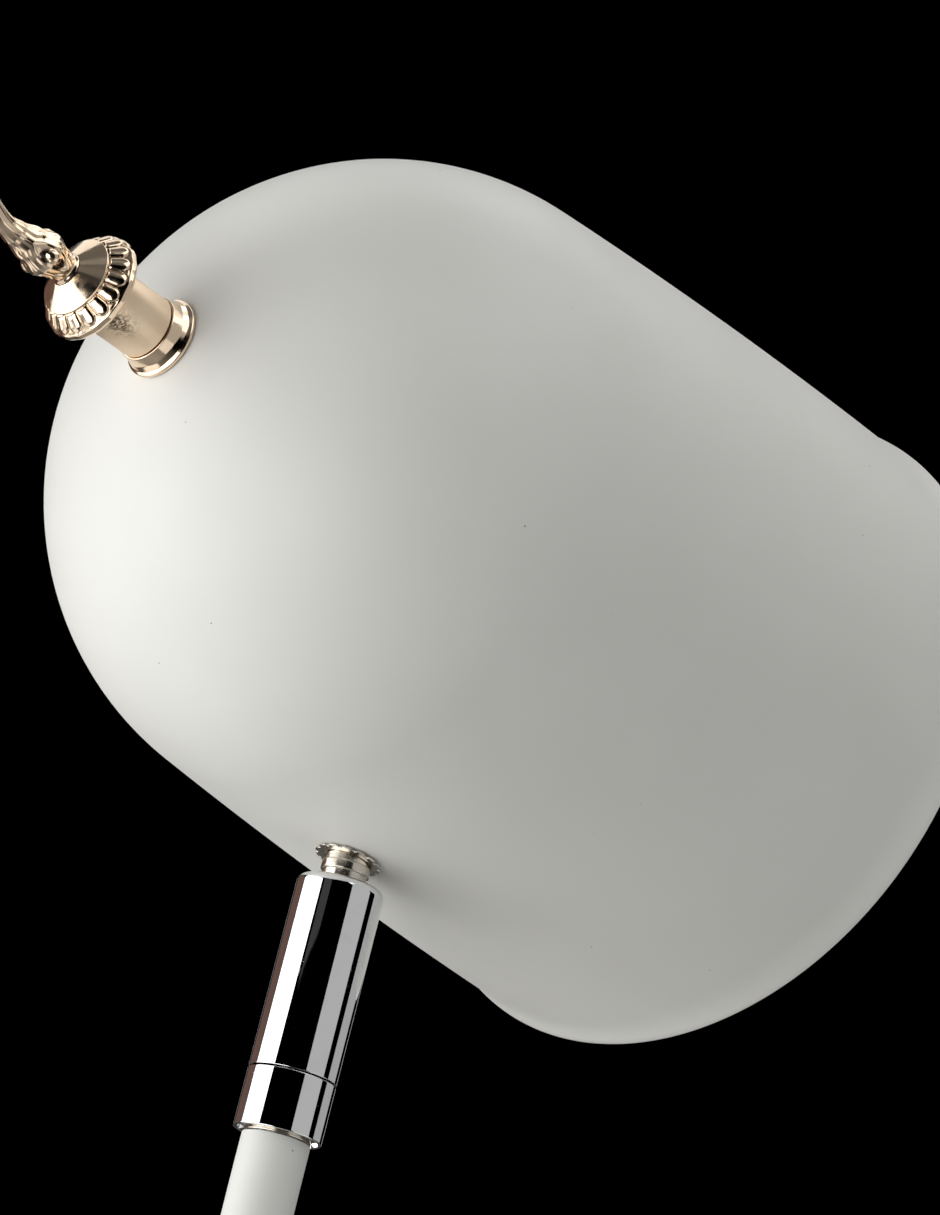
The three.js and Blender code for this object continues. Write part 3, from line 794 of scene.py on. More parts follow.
def turned(
    name: str,
    outline: Sequence[Point],
    sides: int = 96,
    relief: Relief | None = None,
    route: Route | None = None,
    hollow: Relief | None = None,
) -> Mesh:
    """Turn an outline about a route into a closed smooth mesh.

    Args:
        name: The mesh's name.
        outline: Points of (radius, distance). It is closed on itself, or runs from the line to the line.
        sides: Segments round the route.
        relief: Extra radius for the angles round the route, at a radius and a distance.
        route: The line to turn about, or None for a straight one.
        hollow: A value from 0 to 1 for how deep each point lies in the relief, kept for the finish's
            painted shade and patina in the hollows.

    Returns:
        The mesh, in metres.
    """
    points = list(outline)
    if signed_area(points) < 0:
        points.reverse()
    path = route or Route()
    angles = np.arange(sides) * 2 * np.pi / sides
    on_axis = 1e-6
    places: list[np.ndarray] = []
    depths: list[np.ndarray] = []
    rings: list[list[int]] = []
    count = 0
    for radius, height in points:
        centre, across = path.at(height)
        if radius < on_axis:
            places.append(np.array(centre)[None, :])
            depths.append(np.zeros(1))
            rings.append([count] * sides)
            count += 1
            continue
        reach = np.full(sides, radius)
        if relief:
            reach = reach + relief(angles, radius, height)
        spots = np.array(centre)[None, :] + np.outer(reach * np.cos(angles), np.array(across))
        spots = spots + np.outer(reach * np.sin(angles), np.array(SIDEWAYS))
        places.append(spots)
        depths.append(hollow(angles, radius, height) if hollow else np.zeros(sides))
        rings.append(list(range(count, count + sides)))
        count += sides
    faces: list[tuple[int, ...]] = []
    for i in range(len(points) - 1 if points[0][0] < on_axis else len(points)):
        low = rings[i]
        high = rings[(i + 1) % len(points)]
        for j in range(sides):
            k = (j + 1) % sides
            corners = (low[j], low[k], high[k], high[j])
            faces.append(tuple(dict.fromkeys(corners)))
    mesh = bpy.data.meshes.new(name)
    mesh.from_pydata((np.concatenate(places) * MM).tolist(), [], faces)
    # The depth is kept on the mesh for painted shade and patina in the hollows.
    if hollow:
        values = np.concatenate(depths).astype(np.float32)
        mesh.attributes.new("hollow", "FLOAT", "POINT").data.foreach_set("value", values)
    mesh.shade_smooth()
    mesh.set_sharp_from_angle(angle=SHARP)
    return mesh


def hexagon(corner: float, hole: float) -> Relief:
    """Return the relief that cuts a turned blank to a hexagon.

    Args:
        corner: The radius across the corners.
        hole: The radius of the hole, whose wall stays round.

    Returns:
        The relief.
    """
    sixth = math.pi / 3
    flat = corner * math.cos(sixth / 2)

    def relief(angles: np.ndarray, radius: float, _height: float) -> np.ndarray:
        """Return how far each angle comes in to the flats.

        Args:
            angles: The angles round the line.
            radius: The outline's radius there.
            _height: The outline's height there; not used.

        Returns:
            The extra radius at each angle.
        """
        if radius < 1.05 * hole:
            return np.zeros_like(angles)
        wall = flat / np.cos((angles % sixth) - sixth / 2)
        return np.minimum(wall, radius) - radius

    return relief


def nut_mesh(name: str, corner: float, hole: float, low: float, high: float) -> Mesh:
    """Make a hexagon nut with turned chamfers.

    Args:
        name: The mesh's name.
        corner: The radius across the corners.
        hole: The radius of the hole.
        low: Its lower face.
        high: Its upper face.

    Returns:
        The mesh.
    """
    chamfer = 0.14 * corner
    outline = [
        Corner(hole, low, 0.3),
        Corner(corner - chamfer, low, 0.05),
        Corner(corner, low + 0.6 * chamfer, 0.05),
        Corner(corner, high - 0.6 * chamfer, 0.05),
        Corner(corner - chamfer, high, 0.05),
        Corner(hole, high, 0.3),
    ]
    return turned(name, divided(softened(outline, steps=3), 0.8), 144, hexagon(corner, hole))


# ------------------------------------------------------------------------------------------ workshop


@dataclass
class Workshop:
    """Puts pieces in place: the CAD frame, the finishes and the joining calls."""

    frame: dict
    finishes: FinishSet

    def fit(self, mesh: Mesh, line: Line, body: Body, dressing: Dressing, *nodes: str) -> Piece:
        """Place a piece on its line, dress it, and let it stand for its CAD nodes.

        Args:
            mesh: Its mesh, with its name and with local Z along the line.
            line: The line that it sits on.
            body: The body that it rides on.
            dressing: Its finish and the record's slot for it.
            *nodes: The CAD nodes that it stands for.

        Returns:
            The piece.
        """
        piece = bpy.data.objects.new(mesh.name, mesh)
        bpy.context.scene.collection.objects.link(piece)
        piece.matrix_world = line.placement()
        mesh.materials.append(dressing.material)
        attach(piece, body.value)
        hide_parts(*nodes)
        log.info("made %s: %d faces, for %s", piece.name, len(mesh.polygons), ", ".join(nodes))
        return piece

    def dress(self, dressing: Dressing, *nodes: str) -> None:
        """Give carried-over CAD nodes a finish.

        Args:
            dressing: The finish.
            *nodes: The nodes' names.
        """
        for node in nodes:
            mesh = self.frame["nodes"][node].data
            mesh.materials.clear()
            mesh.materials.append(dressing.material)
            log.info("dressed %s in %s", node, dressing.material.name)

    def middle(self, node: str) -> Vector:
        """Return the middle of a CAD node's box."""
        low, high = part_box(node)
        return (low + high) / 2


@dataclass(frozen=True)
class Lines:
    """The lamp's working lines, found from the frame."""

    base: Line
    foot: Line
    tube_end: Line
    shade: Line
    crown: Line

    @staticmethod
    def found(shop: Workshop) -> Lines:
        """Find the lines from the frame's joint and its coaxial nodes.

        Args:
            shop: The workshop that holds the frame.

        Returns:
            The lines.
        """
        seam_height = 18.35
        neck_out = 18.35
        dome_height = 94.5
        joint = shop.frame["joints"][0]
        up_tube = Vector(joint["axis"])
        tube_end = Line(Vector(joint["pos_m"]), up_tube).moved(-seam_height)
        neck = shop.middle("finial_neck")
        light = (shop.middle("lampholder_ring") - neck).normalized()
        crown = Line(neck, light).moved(neck_out)
        shade = crown.moved(dome_height)
        upright = Vector((0.0, 0.0, 1.0))
        foot = shop.middle("foot_ferrule")
        return Lines(
            base=Line(Vector((0.0, 0.0, 0.0)), upright),
            foot=Line(Vector((foot.x, foot.y, 0.0)), upright),
            tube_end=tube_end,
            shade=shade,
            crown=crown.turned_back(),
        )


# ---------------------------------------------------------------------------------------- base, foot


@dataclass
class Base:
    """Weighted disc base: felt pad, iron weight, coated cover and the lead's gland."""

    radius: float = 150.0
    height: float = 30.0
    cover_thickness: float = 1.5
    cover_low: float = 1.0
    edge: float = 5.0
    pad_radius: float = 146.5
    pad_thickness: float = 2.0
    gland_height: float = 8.2

    def build(self, shop: Workshop, lines: Lines) -> None:
        """Build the base's pieces.

        Args:
            shop: The workshop.
            lines: The lamp's working lines.
        """
        finishes = shop.finishes
        exit_point = Vector((-self.radius, 0.0, self.gland_height)) * MM
        gland_line = Line(exit_point, Vector((-1.0, 0.0, 0.0)))
        shop.fit(self.shell(), lines.base, Body.STAND, finishes.coat, "base_cover")
        shop.fit(self.pad(), lines.base, Body.STAND, finishes.felt, "floor_pad")
        shop.fit(self.gland(), gland_line, Body.STAND, finishes.plastic, "cord_gland")
        shop.dress(finishes.iron, "base_weight")

    def shell(self) -> Mesh:
        """Return the pressed cover with its rolled shoulder.

        Returns:
            The mesh.
        """
        inner_r = self.radius - self.cover_thickness
        inner_top = self.height - self.cover_thickness
        outline = [
            Corner(0.0, inner_top),
            Corner(inner_r, inner_top, self.edge - self.cover_thickness),
            Corner(inner_r, self.cover_low, 0.5),
            Corner(self.radius, self.cover_low, 0.5),
            Corner(self.radius, self.height, self.edge),
            Corner(0.0, self.height),
        ]
        points = softened(outline, closed=False, steps=10)
        return turned("base_shell", points, 256)

    def pad(self) -> Mesh:
        """Return the felt pad with its slightly crushed edge.

        Returns:
            The mesh.
        """
        outline = ring_section(0.0, self.pad_radius, 0.0, self.pad_thickness, (0.0, 0.5, 0.8, 0.0))
        fray = 0.15

        def crushed(angles: np.ndarray, radius: float, _height: float) -> np.ndarray:
            """Let the cut edge wander a little."""
            wander = np.sin(37 * angles) + 0.6 * np.sin(83 * angles + 1.0)
            return fray * wander if radius > 0.9 * self.pad_radius else np.zeros_like(angles)

        return turned("base_felt", softened(outline, closed=False), 384, crushed)

    def gland(self) -> Mesh:
        """Return the moulded gland with its gripping ribs.

        Returns:
            The mesh.
        """
        outline = [
            Corner(3.0, -1.6, 0.2),
            Corner(4.0, -1.6, 0.3),
            Corner(4.0, 0.4),
            Corner(7.0, 0.4, 0.2),
            Corner(7.0, 2.4, 0.5),
            Corner(5.9, 2.9, 0.3),
            Corner(5.2, 6.0, 0.6),
            Corner(3.0, 6.0, 0.4),
        ]
        ribs = 16

        def ribbed(angles: np.ndarray, radius: float, height: float) -> np.ndarray:
            """Raise ribs on the tapered nose.

            Args:
                angles: The angles round the line.
                radius: The outline's radius there.
                height: The outline's height there.

            Returns:
                The extra radius at each angle.
            """
            if radius < 4.5 or height < 2.95:
                return np.zeros_like(angles)
            return 0.18 * np.cos(ribs * angles)

        return turned("lead_gland", divided(softened(outline), 0.5), 192, ribbed)


@dataclass
class Foot:
    """The chromed ferrule that the stem stands in, and its hidden fixings."""

    seat: float = 30.3
    flange: float = 30.0
    collar: float = 14.5
    bore: float = 10.5
    height: float = 44.0

    def build(self, shop: Workshop, lines: Lines) -> None:
        """Build the foot's pieces.

        Args:
            shop: The workshop.
            lines: The lamp's working lines.
        """
        shop.fit(self.ferrule(), lines.foot, Body.STAND, shop.finishes.chrome, "foot_ferrule")
        shop.dress(shop.finishes.steel, "foot_plug", "foot_stud", "foot_locknut", "foot_washer")

    def ferrule(self) -> Mesh:
        """Return the ferrule: a stepped flange, an ogee and a beaded collar.

        Returns:
            The mesh.
        """
        seat = self.seat
        top = seat + self.height
        outline = [
            Corner(self.bore, seat, 0.3),
            Corner(self.flange, seat, 0.4),
            Corner(self.flange, seat + 3.0, 1.0),
            Corner(self.flange - 2.0, seat + 3.6, 0.4),
            Corner(self.flange - 2.4, seat + 4.8, 0.8),
            Corner(self.collar + 4.5, seat + 6.2, 3.0),
            Corner(self.collar, seat + 11.5, 3.0),
            Corner(self.collar, top - 6.0, 0.3),
            Corner(self.collar - 0.5, top - 5.7, 0.1),
            Corner(self.collar - 0.5, top - 5.0, 0.1),
            Corner(self.collar, top - 4.7, 0.3),
            Corner(self.collar, top, 1.8),
            Corner(self.bore, top, 0.4),
        ]
        return turned("ferrule_turning", softened(outline, steps=7), 160)


# ---------------------------------------------------------------------------------------------- stem


@dataclass
class StemRoute(Route):
    """The stem's centre line: a straight foot, a backward knee, then a long forward bow."""

    start: Vector
    foot: float = 62.0
    knee_radius: float = 120.0
    knee_lean: float = math.radians(-28.0)
    bow_radius: float = 1600.0
    top_lean: float = math.radians(21.0)

    @property
    def bow_start(self) -> float:
        """Return the distance to the start of the bow."""
        return self.foot + self.knee_radius * abs(self.knee_lean)

    @property
    def length(self) -> float:
        """Return the whole length."""
        return self.bow_start + self.bow_radius * (self.top_lean - self.knee_lean)

    def at(self, distance: float) -> tuple[Vector, Vector]:
        """Return the point and the direction across the stem at a distance.

        Args:
            distance: Millimetres along the stem.

        Returns:
            The point and the unit direction.
        """
        spot = self.start + Vector((0.0, 0.0, min(distance, self.foot)))
        lean = 0.0
        if distance > self.foot:
            run = min(distance, self.bow_start) - self.foot
            spot, lean = self.bent(spot, lean, -self.knee_radius, run)
        if distance > self.bow_start:
            spot, lean = self.bent(spot, lean, self.bow_radius, distance - self.bow_start)
        return spot, Vector((math.cos(lean), 0.0, -math.sin(lean)))

    @staticmethod
    def bent(spot: Vector, lean: float, radius: float, run: float) -> tuple[Vector, float]:
        """Follow a bend from a point.

        Args:
            spot: The point to start at.
            lean: The lean there, from upright.
            radius: The bend's radius, above zero if it leans forwards.
            run: The length to follow.

        Returns:
            The point and the lean at the end.
        """
        after = lean + run / radius
        forward = radius * (math.cos(lean) - math.cos(after))
        upward = radius * (math.sin(after) - math.sin(lean))
        return spot + Vector((forward, 0.0, upward)), after


@dataclass
class Stem:
    """Three coated tubes joined by two chromed couplers."""

    foot_height: float = 30.3
    tube_r: float = 10.0
    bore_r: float = 8.8
    gap: float = 0.3
    coupler_r: float = 12.5
    coupler_length: float = 36.0
    coupler_bore: float = 10.5
    sections: int = 3
    step: float = 12.0

    def build(self, shop: Workshop, lines: Lines) -> None:
        """Build the stem's pieces.

        Args:
            shop: The workshop.
            lines: The lamp's working lines.
        """
        finishes = shop.finishes
        foot = lines.foot.origin / MM
        route = StemRoute(Vector((foot.x, foot.y, self.foot_height)))
        bow = route.length - route.bow_start
        joints = [route.bow_start + bow * i / self.sections for i in range(1, self.sections)]
        starts = [0.0, *(joint + self.gap for joint in joints)]
        ends = [*(joint - self.gap for joint in joints), route.length]
        for name, start, end in zip(("lower", "middle", "upper"), starts, ends):
            tube = self.tube(f"{name}_stem_tube", route, start, end)
            shop.fit(tube, lines.base, Body.STAND, finishes.coat, f"{name}_tube")
        for name, joint in zip(("lower", "upper"), joints):
            coupler = self.coupler(f"{name}_coupler_sleeve", route, joint)
            shop.fit(coupler, lines.base, Body.STAND, finishes.chrome, f"{name}_coupler")
            shop.dress(finishes.steel, f"{name}_spigot")

    def tube(self, name: str, route: StemRoute, start: float, end: float) -> Mesh:
        """Return one length of tube, deburred at both ends.

        Args:
            name: The mesh's name.
            route: The stem's centre line.
            start: The distance along it of the lower end.
            end: The distance along it of the upper end.

        Returns:
            The mesh.
        """
        outline = ring_section(self.bore_r, self.tube_r, start, end, (0.25, 0.35, 0.35, 0.25))
        return turned(name, divided(softened(outline, steps=3), self.step), 96, route=route)

    def coupler(self, name: str, route: StemRoute, joint: float) -> Mesh:
        """Return a coupler with a turned groove at each end.

        Args:
            name: The mesh's name.
            route: The stem's centre line.
            joint: The distance along it of the joint that the coupler covers.

        Returns:
            The mesh.
        """
        half = self.coupler_length / 2
        groove = 0.5
        grooves: list[Corner] = []
        for near in (joint - (half - 4.0), joint + (half - 4.0)):
            for offset, depth in ((-0.6, 0.0), (-0.4, groove), (0.4, groove), (0.6, 0.0)):
                grooves.append(Corner(self.coupler_r - depth, near + offset, 0.08))
        ends = (0.3, 0.9, 0.9, 0.3)
        blank = ring_section(self.coupler_bore, self.coupler_r, joint - half, joint + half, ends)
        outline = [*blank[:2], *grooves, *blank[2:]]
        return turned(name, divided(softened(outline), self.step / 2), 128, route=route)


# -------------------------------------------------------------------------------------------- swivel


@dataclass
class Swivel:
    """The chromed swivel on the stem's top end, and the nickel nipple that holds the shade to it."""

    radius: float = 12.9
    base_low: float = 0.9
    seam_low: float = 18.1
    seam_high: float = 18.6
    top: float = 76.8
    shoulder: float = 2.6
    pivot_bore: float = 5.4
    shank: float = 8.0
    shank_length: float = 26.0
    wall: float = 2.0
    end_wall: float = 4.0
    nipple_r: float = 6.6
    nipple_bore: float = 4.6
    washer_r: float = 9.9
    nut_r: float = 10.5
    nut_hole: float = 7.0
    skin: float = 84.6
    skin_tilt: float = 7.9

    def build(self, shop: Workshop, lines: Lines) -> None:
        """Build the swivel's pieces.

        Args:
            shop: The workshop.
            lines: The lamp's working lines.
        """
        finishes = shop.finishes
        axis = lines.tube_end
        skin = axis.moved(self.skin).tilted(self.skin_tilt)
        nut = nut_mesh("nipple_nut", self.nut_r, self.nut_hole, self.skin + 7.3, self.skin + 11.8)
        shop.fit(self.lower_shell(), axis, Body.STAND, finishes.chrome, "swivel_base")
        shop.fit(self.recess_ring(), axis, Body.STAND, finishes.nickel, "tube_seat_ring")
        shop.fit(self.upper_shell(), axis, Body.HEAD, finishes.chrome, "swivel_barrel")
        shop.fit(self.nipple(), axis, Body.HEAD, finishes.nickel, "shade_nipple")
        shop.fit(self.toothed_washer(), skin, Body.HEAD, finishes.nickel, "seat_washer")
        shop.fit(nut, axis, Body.HEAD, finishes.steel, "nipple_locknut")
        shop.dress(finishes.nickel, "saddle_washer")
        shop.dress(finishes.steel, "swivel_pivot", "swivel_washer", "barrel_locknut")

    def lower_shell(self) -> Mesh:
        """Return the fixed half, recessed at its foot, with its shank down the tube.

        Returns:
            The mesh.
        """
        recess = self.base_low + 1.6
        outline = [
            Corner(self.pivot_bore, -self.shank_length, 0.3),
            Corner(self.shank, -self.shank_length, 0.5),
            Corner(self.shank, recess, 0.2),
            Corner(self.radius - 1.3, recess, 0.2),
            Corner(self.radius - 0.9, self.base_low, 0.15),
            Corner(self.radius, self.base_low, 0.25),
            Corner(self.radius, self.seam_low, 0.18),
            Corner(self.pivot_bore, self.seam_low, 0.2),
        ]
        return turned("swivel_lower_shell", softened(outline), 192)

    def recess_ring(self) -> Mesh:
        """Return the bright ring between the tube's end and the recess."""
        outline = ring_section(self.shank + 0.3, 9.8, 0.3, 2.2, (0.1, 0.3, 0.3, 0.1))
        return turned("recess_ring", softened(outline), 128)

    def upper_shell(self) -> Mesh:
        """Return the turning half: a barrel with a round shoulder and a hollow middle.

        Returns:
            The mesh.
        """
        cavity = self.radius - self.wall
        hole = self.nipple_r + 0.3
        outline = [
            Corner(self.pivot_bore, self.seam_high, 0.2),
            Corner(self.radius, self.seam_high, 0.18),
            Corner(self.radius, self.top, self.shoulder),
            Corner(hole, self.top, 0.3),
            Corner(hole, self.top - self.end_wall, 0.2),
            Corner(cavity, self.top - self.end_wall, 0.8),
            Corner(cavity, self.seam_high + self.end_wall, 0.8),
            Corner(self.pivot_bore, self.seam_high + self.end_wall, 0.2),
        ]
        return turned("swivel_upper_shell", softened(outline, steps=9), 192)

    def nipple(self) -> Mesh:
        """Return the nipple with its rolled collar and a thread on each hidden end.

        Returns:
            The mesh.
        """
        collar = self.skin - 4.9
        low = self.top - 12.0
        high = self.skin + 15.0
        outline = [
            Corner(self.nipple_bore, low, 0.3),
            Corner(self.nipple_r, low, 0.5),
            Corner(self.nipple_r, collar - 0.1, 0.1),
            Corner(self.nipple_r + 0.6, collar, 0.45),
            Corner(self.nipple_r + 0.6, collar + 2.7, 0.45),
            Corner(self.nipple_r, collar + 2.8, 0.1),
            Corner(self.nipple_r, high, 0.5),
            Corner(self.nipple_bore, high, 0.3),
        ]
        thread_start = self.skin + 11.9
        pitch = 1.0

        def threaded(angles: np.ndarray, radius: float, height: float) -> np.ndarray:
            """Cut a thread above the nut.

            Args:
                angles: The angles round the line.
                radius: The outline's radius there.
                height: The outline's height there.

            Returns:
                The extra radius at each angle.
            """
            if radius < self.nipple_r - 0.01 or not thread_start < height < high - 0.6:
                return np.zeros_like(angles)
            return 0.22 * (np.cos(2 * np.pi * height / pitch - angles) - 1.0)

        return turned("nipple_turning", divided(softened(outline), 0.25), 128, threaded)

    def toothed_washer(self) -> Mesh:
        """Return the toothed washer that lies on the shade's skin, made just under the skin's plane.

        Returns:
            The mesh.
        """
        outline = ring_section(self.nipple_r + 0.5, self.washer_r, -0.9, -0.3, (0.1, 0.15, 0.15, 0.1))
        teeth = 14

        def notched(angles: np.ndarray, radius: float, _height: float) -> np.ndarray:
            """Notch the rim between its teeth."""
            notch = np.clip(1.6 * np.cos(teeth * angles) - 0.4, 0.0, 1.0)
            return -0.9 * notch if radius > self.washer_r - 1.3 else np.zeros_like(angles)

        return turned("toothed_washer", softened(outline), 280, notched)


# --------------------------------------------------------------------------------------------- shade


@dataclass
class Shade:
    """Spun bell shade: an elliptic dome, a flaring skirt and a lip that turns out at the mouth."""

    dome_r: float = 98.5
    dome_h: float = 94.5
    skirt_start: float = -7.8
    skirt_end: float = 159.0
    flare: float = 14.3
    ease: float = 6.0
    lip: float = 1.7
    lip_length: float = 12.0
    wall: float = 1.0
    crown_hole: float = 4.8
    nipple_hole: float = 7.1
    dome_steps: int = 64
    skirt_step: float = 2.0
    sides: int = 256

    def radius(self, station: float) -> float:
        """Return the outer radius at a station along the light's line.

        Args:
            station: The distance past the dome's centre.

        Returns:
            The radius.
        """
        if station < self.skirt_start:
            return self.dome_r * math.sqrt(max(0.0, 1 - (station / self.dome_h) ** 2))
        top = self.dome_r * math.sqrt(1 - (self.skirt_start / self.dome_h) ** 2)
        along = (station - self.skirt_start) / (self.skirt_end - self.skirt_start)
        past = max(0.0, (station - self.skirt_end + self.lip_length) / self.lip_length)
        return top + self.flare * along - self.ease * along**2 + self.lip * past**2

    def skin(self, inset: float) -> list[Point]:
        """Return the outline from the crown's hole to near the mouth.

        Args:
            inset: How far inside the outer skin it lies.

        Returns:
            The outline's points.
        """
        wide = (self.dome_r - inset) / self.dome_r
        tall = (self.dome_h - inset) / self.dome_h
        first = math.asin(self.crown_hole / self.dome_r)
        last = math.acos(-self.skirt_start / self.dome_h)
        points: list[Point] = []
        for i in range(self.dome_steps + 1):
            angle = first + (last - first) * i / self.dome_steps
            points.append((wide * self.dome_r * math.sin(angle), -tall * self.dome_h * math.cos(angle)))
        mouth = self.skirt_end - self.wall / 2
        steps = round((mouth - self.skirt_start) / self.skirt_step)
        for i in range(1, steps + 1):
            station = self.skirt_start + (mouth - self.skirt_start) * i / steps
            points.append((self.radius(station) - inset, station))
        return points

    def build(self, shop: Workshop, lines: Lines) -> None:
        """Build the shade, with holes for the finial's stud and the nipple.

        Args:
            shop: The workshop.
            lines: The lamp's working lines.
        """
        inner = self.skin(self.wall)
        outer = self.skin(0.0)
        edge: list[Point] = []
        steps = 6
        middle = (outer[-1][0] + inner[-1][0]) / 2
        reach = self.wall / 2
        for i in range(1, steps):
            angle = math.pi * i / steps
            station = self.skirt_end - reach + reach * math.sin(angle)
            edge.append((middle - reach * math.cos(angle), station))
        outline = [*inner, *edge, *reversed(outer)]
        mesh = turned("bell_shade", outline, self.sides)
        piece = shop.fit(mesh, lines.shade, Body.HEAD, shop.finishes.coat, "shade")
        self.pierce(piece, lines.tube_end)

    def pierce(self, piece: Piece, axis: Line) -> None:
        """Cut the nipple's hole through the skin.

        Args:
            piece: The shade.
            axis: The line of the hole.
        """
        start, end = 70.0, 104.0  # the drill passes through the near skin only
        outline = [(0.0, start), (self.nipple_hole, start), (self.nipple_hole, end), (0.0, end)]
        drill = bpy.data.objects.new("hole_drill", turned("hole_drill", outline, 64))
        bpy.context.scene.collection.objects.link(drill)
        drill.matrix_world = axis.placement()
        cut = piece.modifiers.new("nipple_hole", "BOOLEAN")
        cut.operation = "DIFFERENCE"
        cut.solver = "EXACT"
        cut.object = drill
        bpy.context.view_layer.update()
        graph = bpy.context.evaluated_depsgraph_get()
        pierced = bpy.data.meshes.new_from_object(piece.evaluated_get(graph))
        piece.modifiers.clear()
        old = piece.data
        piece.data = pierced
        piece.data.set_sharp_from_angle(angle=SHARP)
        bpy.data.meshes.remove(old)
        bpy.data.objects.remove(drill)
        log.info("pierced the shade: %d faces", len(pierced.polygons))


# -------------------------------------------------------------------------------------------- finial


@dataclass
class HandleRoute(Route):
    """The handle's line: straight out of the cup, then sweeping up."""

    straight: float = 59.7
    stop_gap: float = 10.4
    stops: tuple[Point, ...] = (
        (0.0, 0.0),
        (1.0, 7.0),
        (6.0, 16.0),
        (16.0, 25.0),
        (28.0, 31.0),
        (37.0, 39.0),
        (41.0, 49.0),
    )

    def spot(self, distance: float) -> Vector:
        """Return the point at a distance, on a smooth line through the stops.

        Args:
            distance: Millimetres along the handle.

        Returns:
            The point.
        """
        past = (distance - self.straight) / self.stop_gap
        if past <= 0:
            return Vector((0.0, 0.0, distance))
        last = len(self.stops) - 1
        i = min(int(past), last - 1)
        share = past - i
        rows = [Vector((*self.stops[max(0, min(last, i + k))], 0.0)) for k in (-1, 0, 1, 2)]
        bend = eased(rows, share)
        return Vector((bend.x, 0.0, self.straight + bend.y))

    def at(self, distance: float) -> tuple[Vector, Vector]:
        """Return the point and the direction across the handle at a distance.

        Args:
            distance: Millimetres along the handle.

        Returns:
            The point and the unit direction.
        """
        ahead = self.spot(distance + 0.5) - self.spot(distance - 0.5)
        along = ahead.normalized()
        return self.spot(distance), SIDEWAYS.cross(along).normalized()


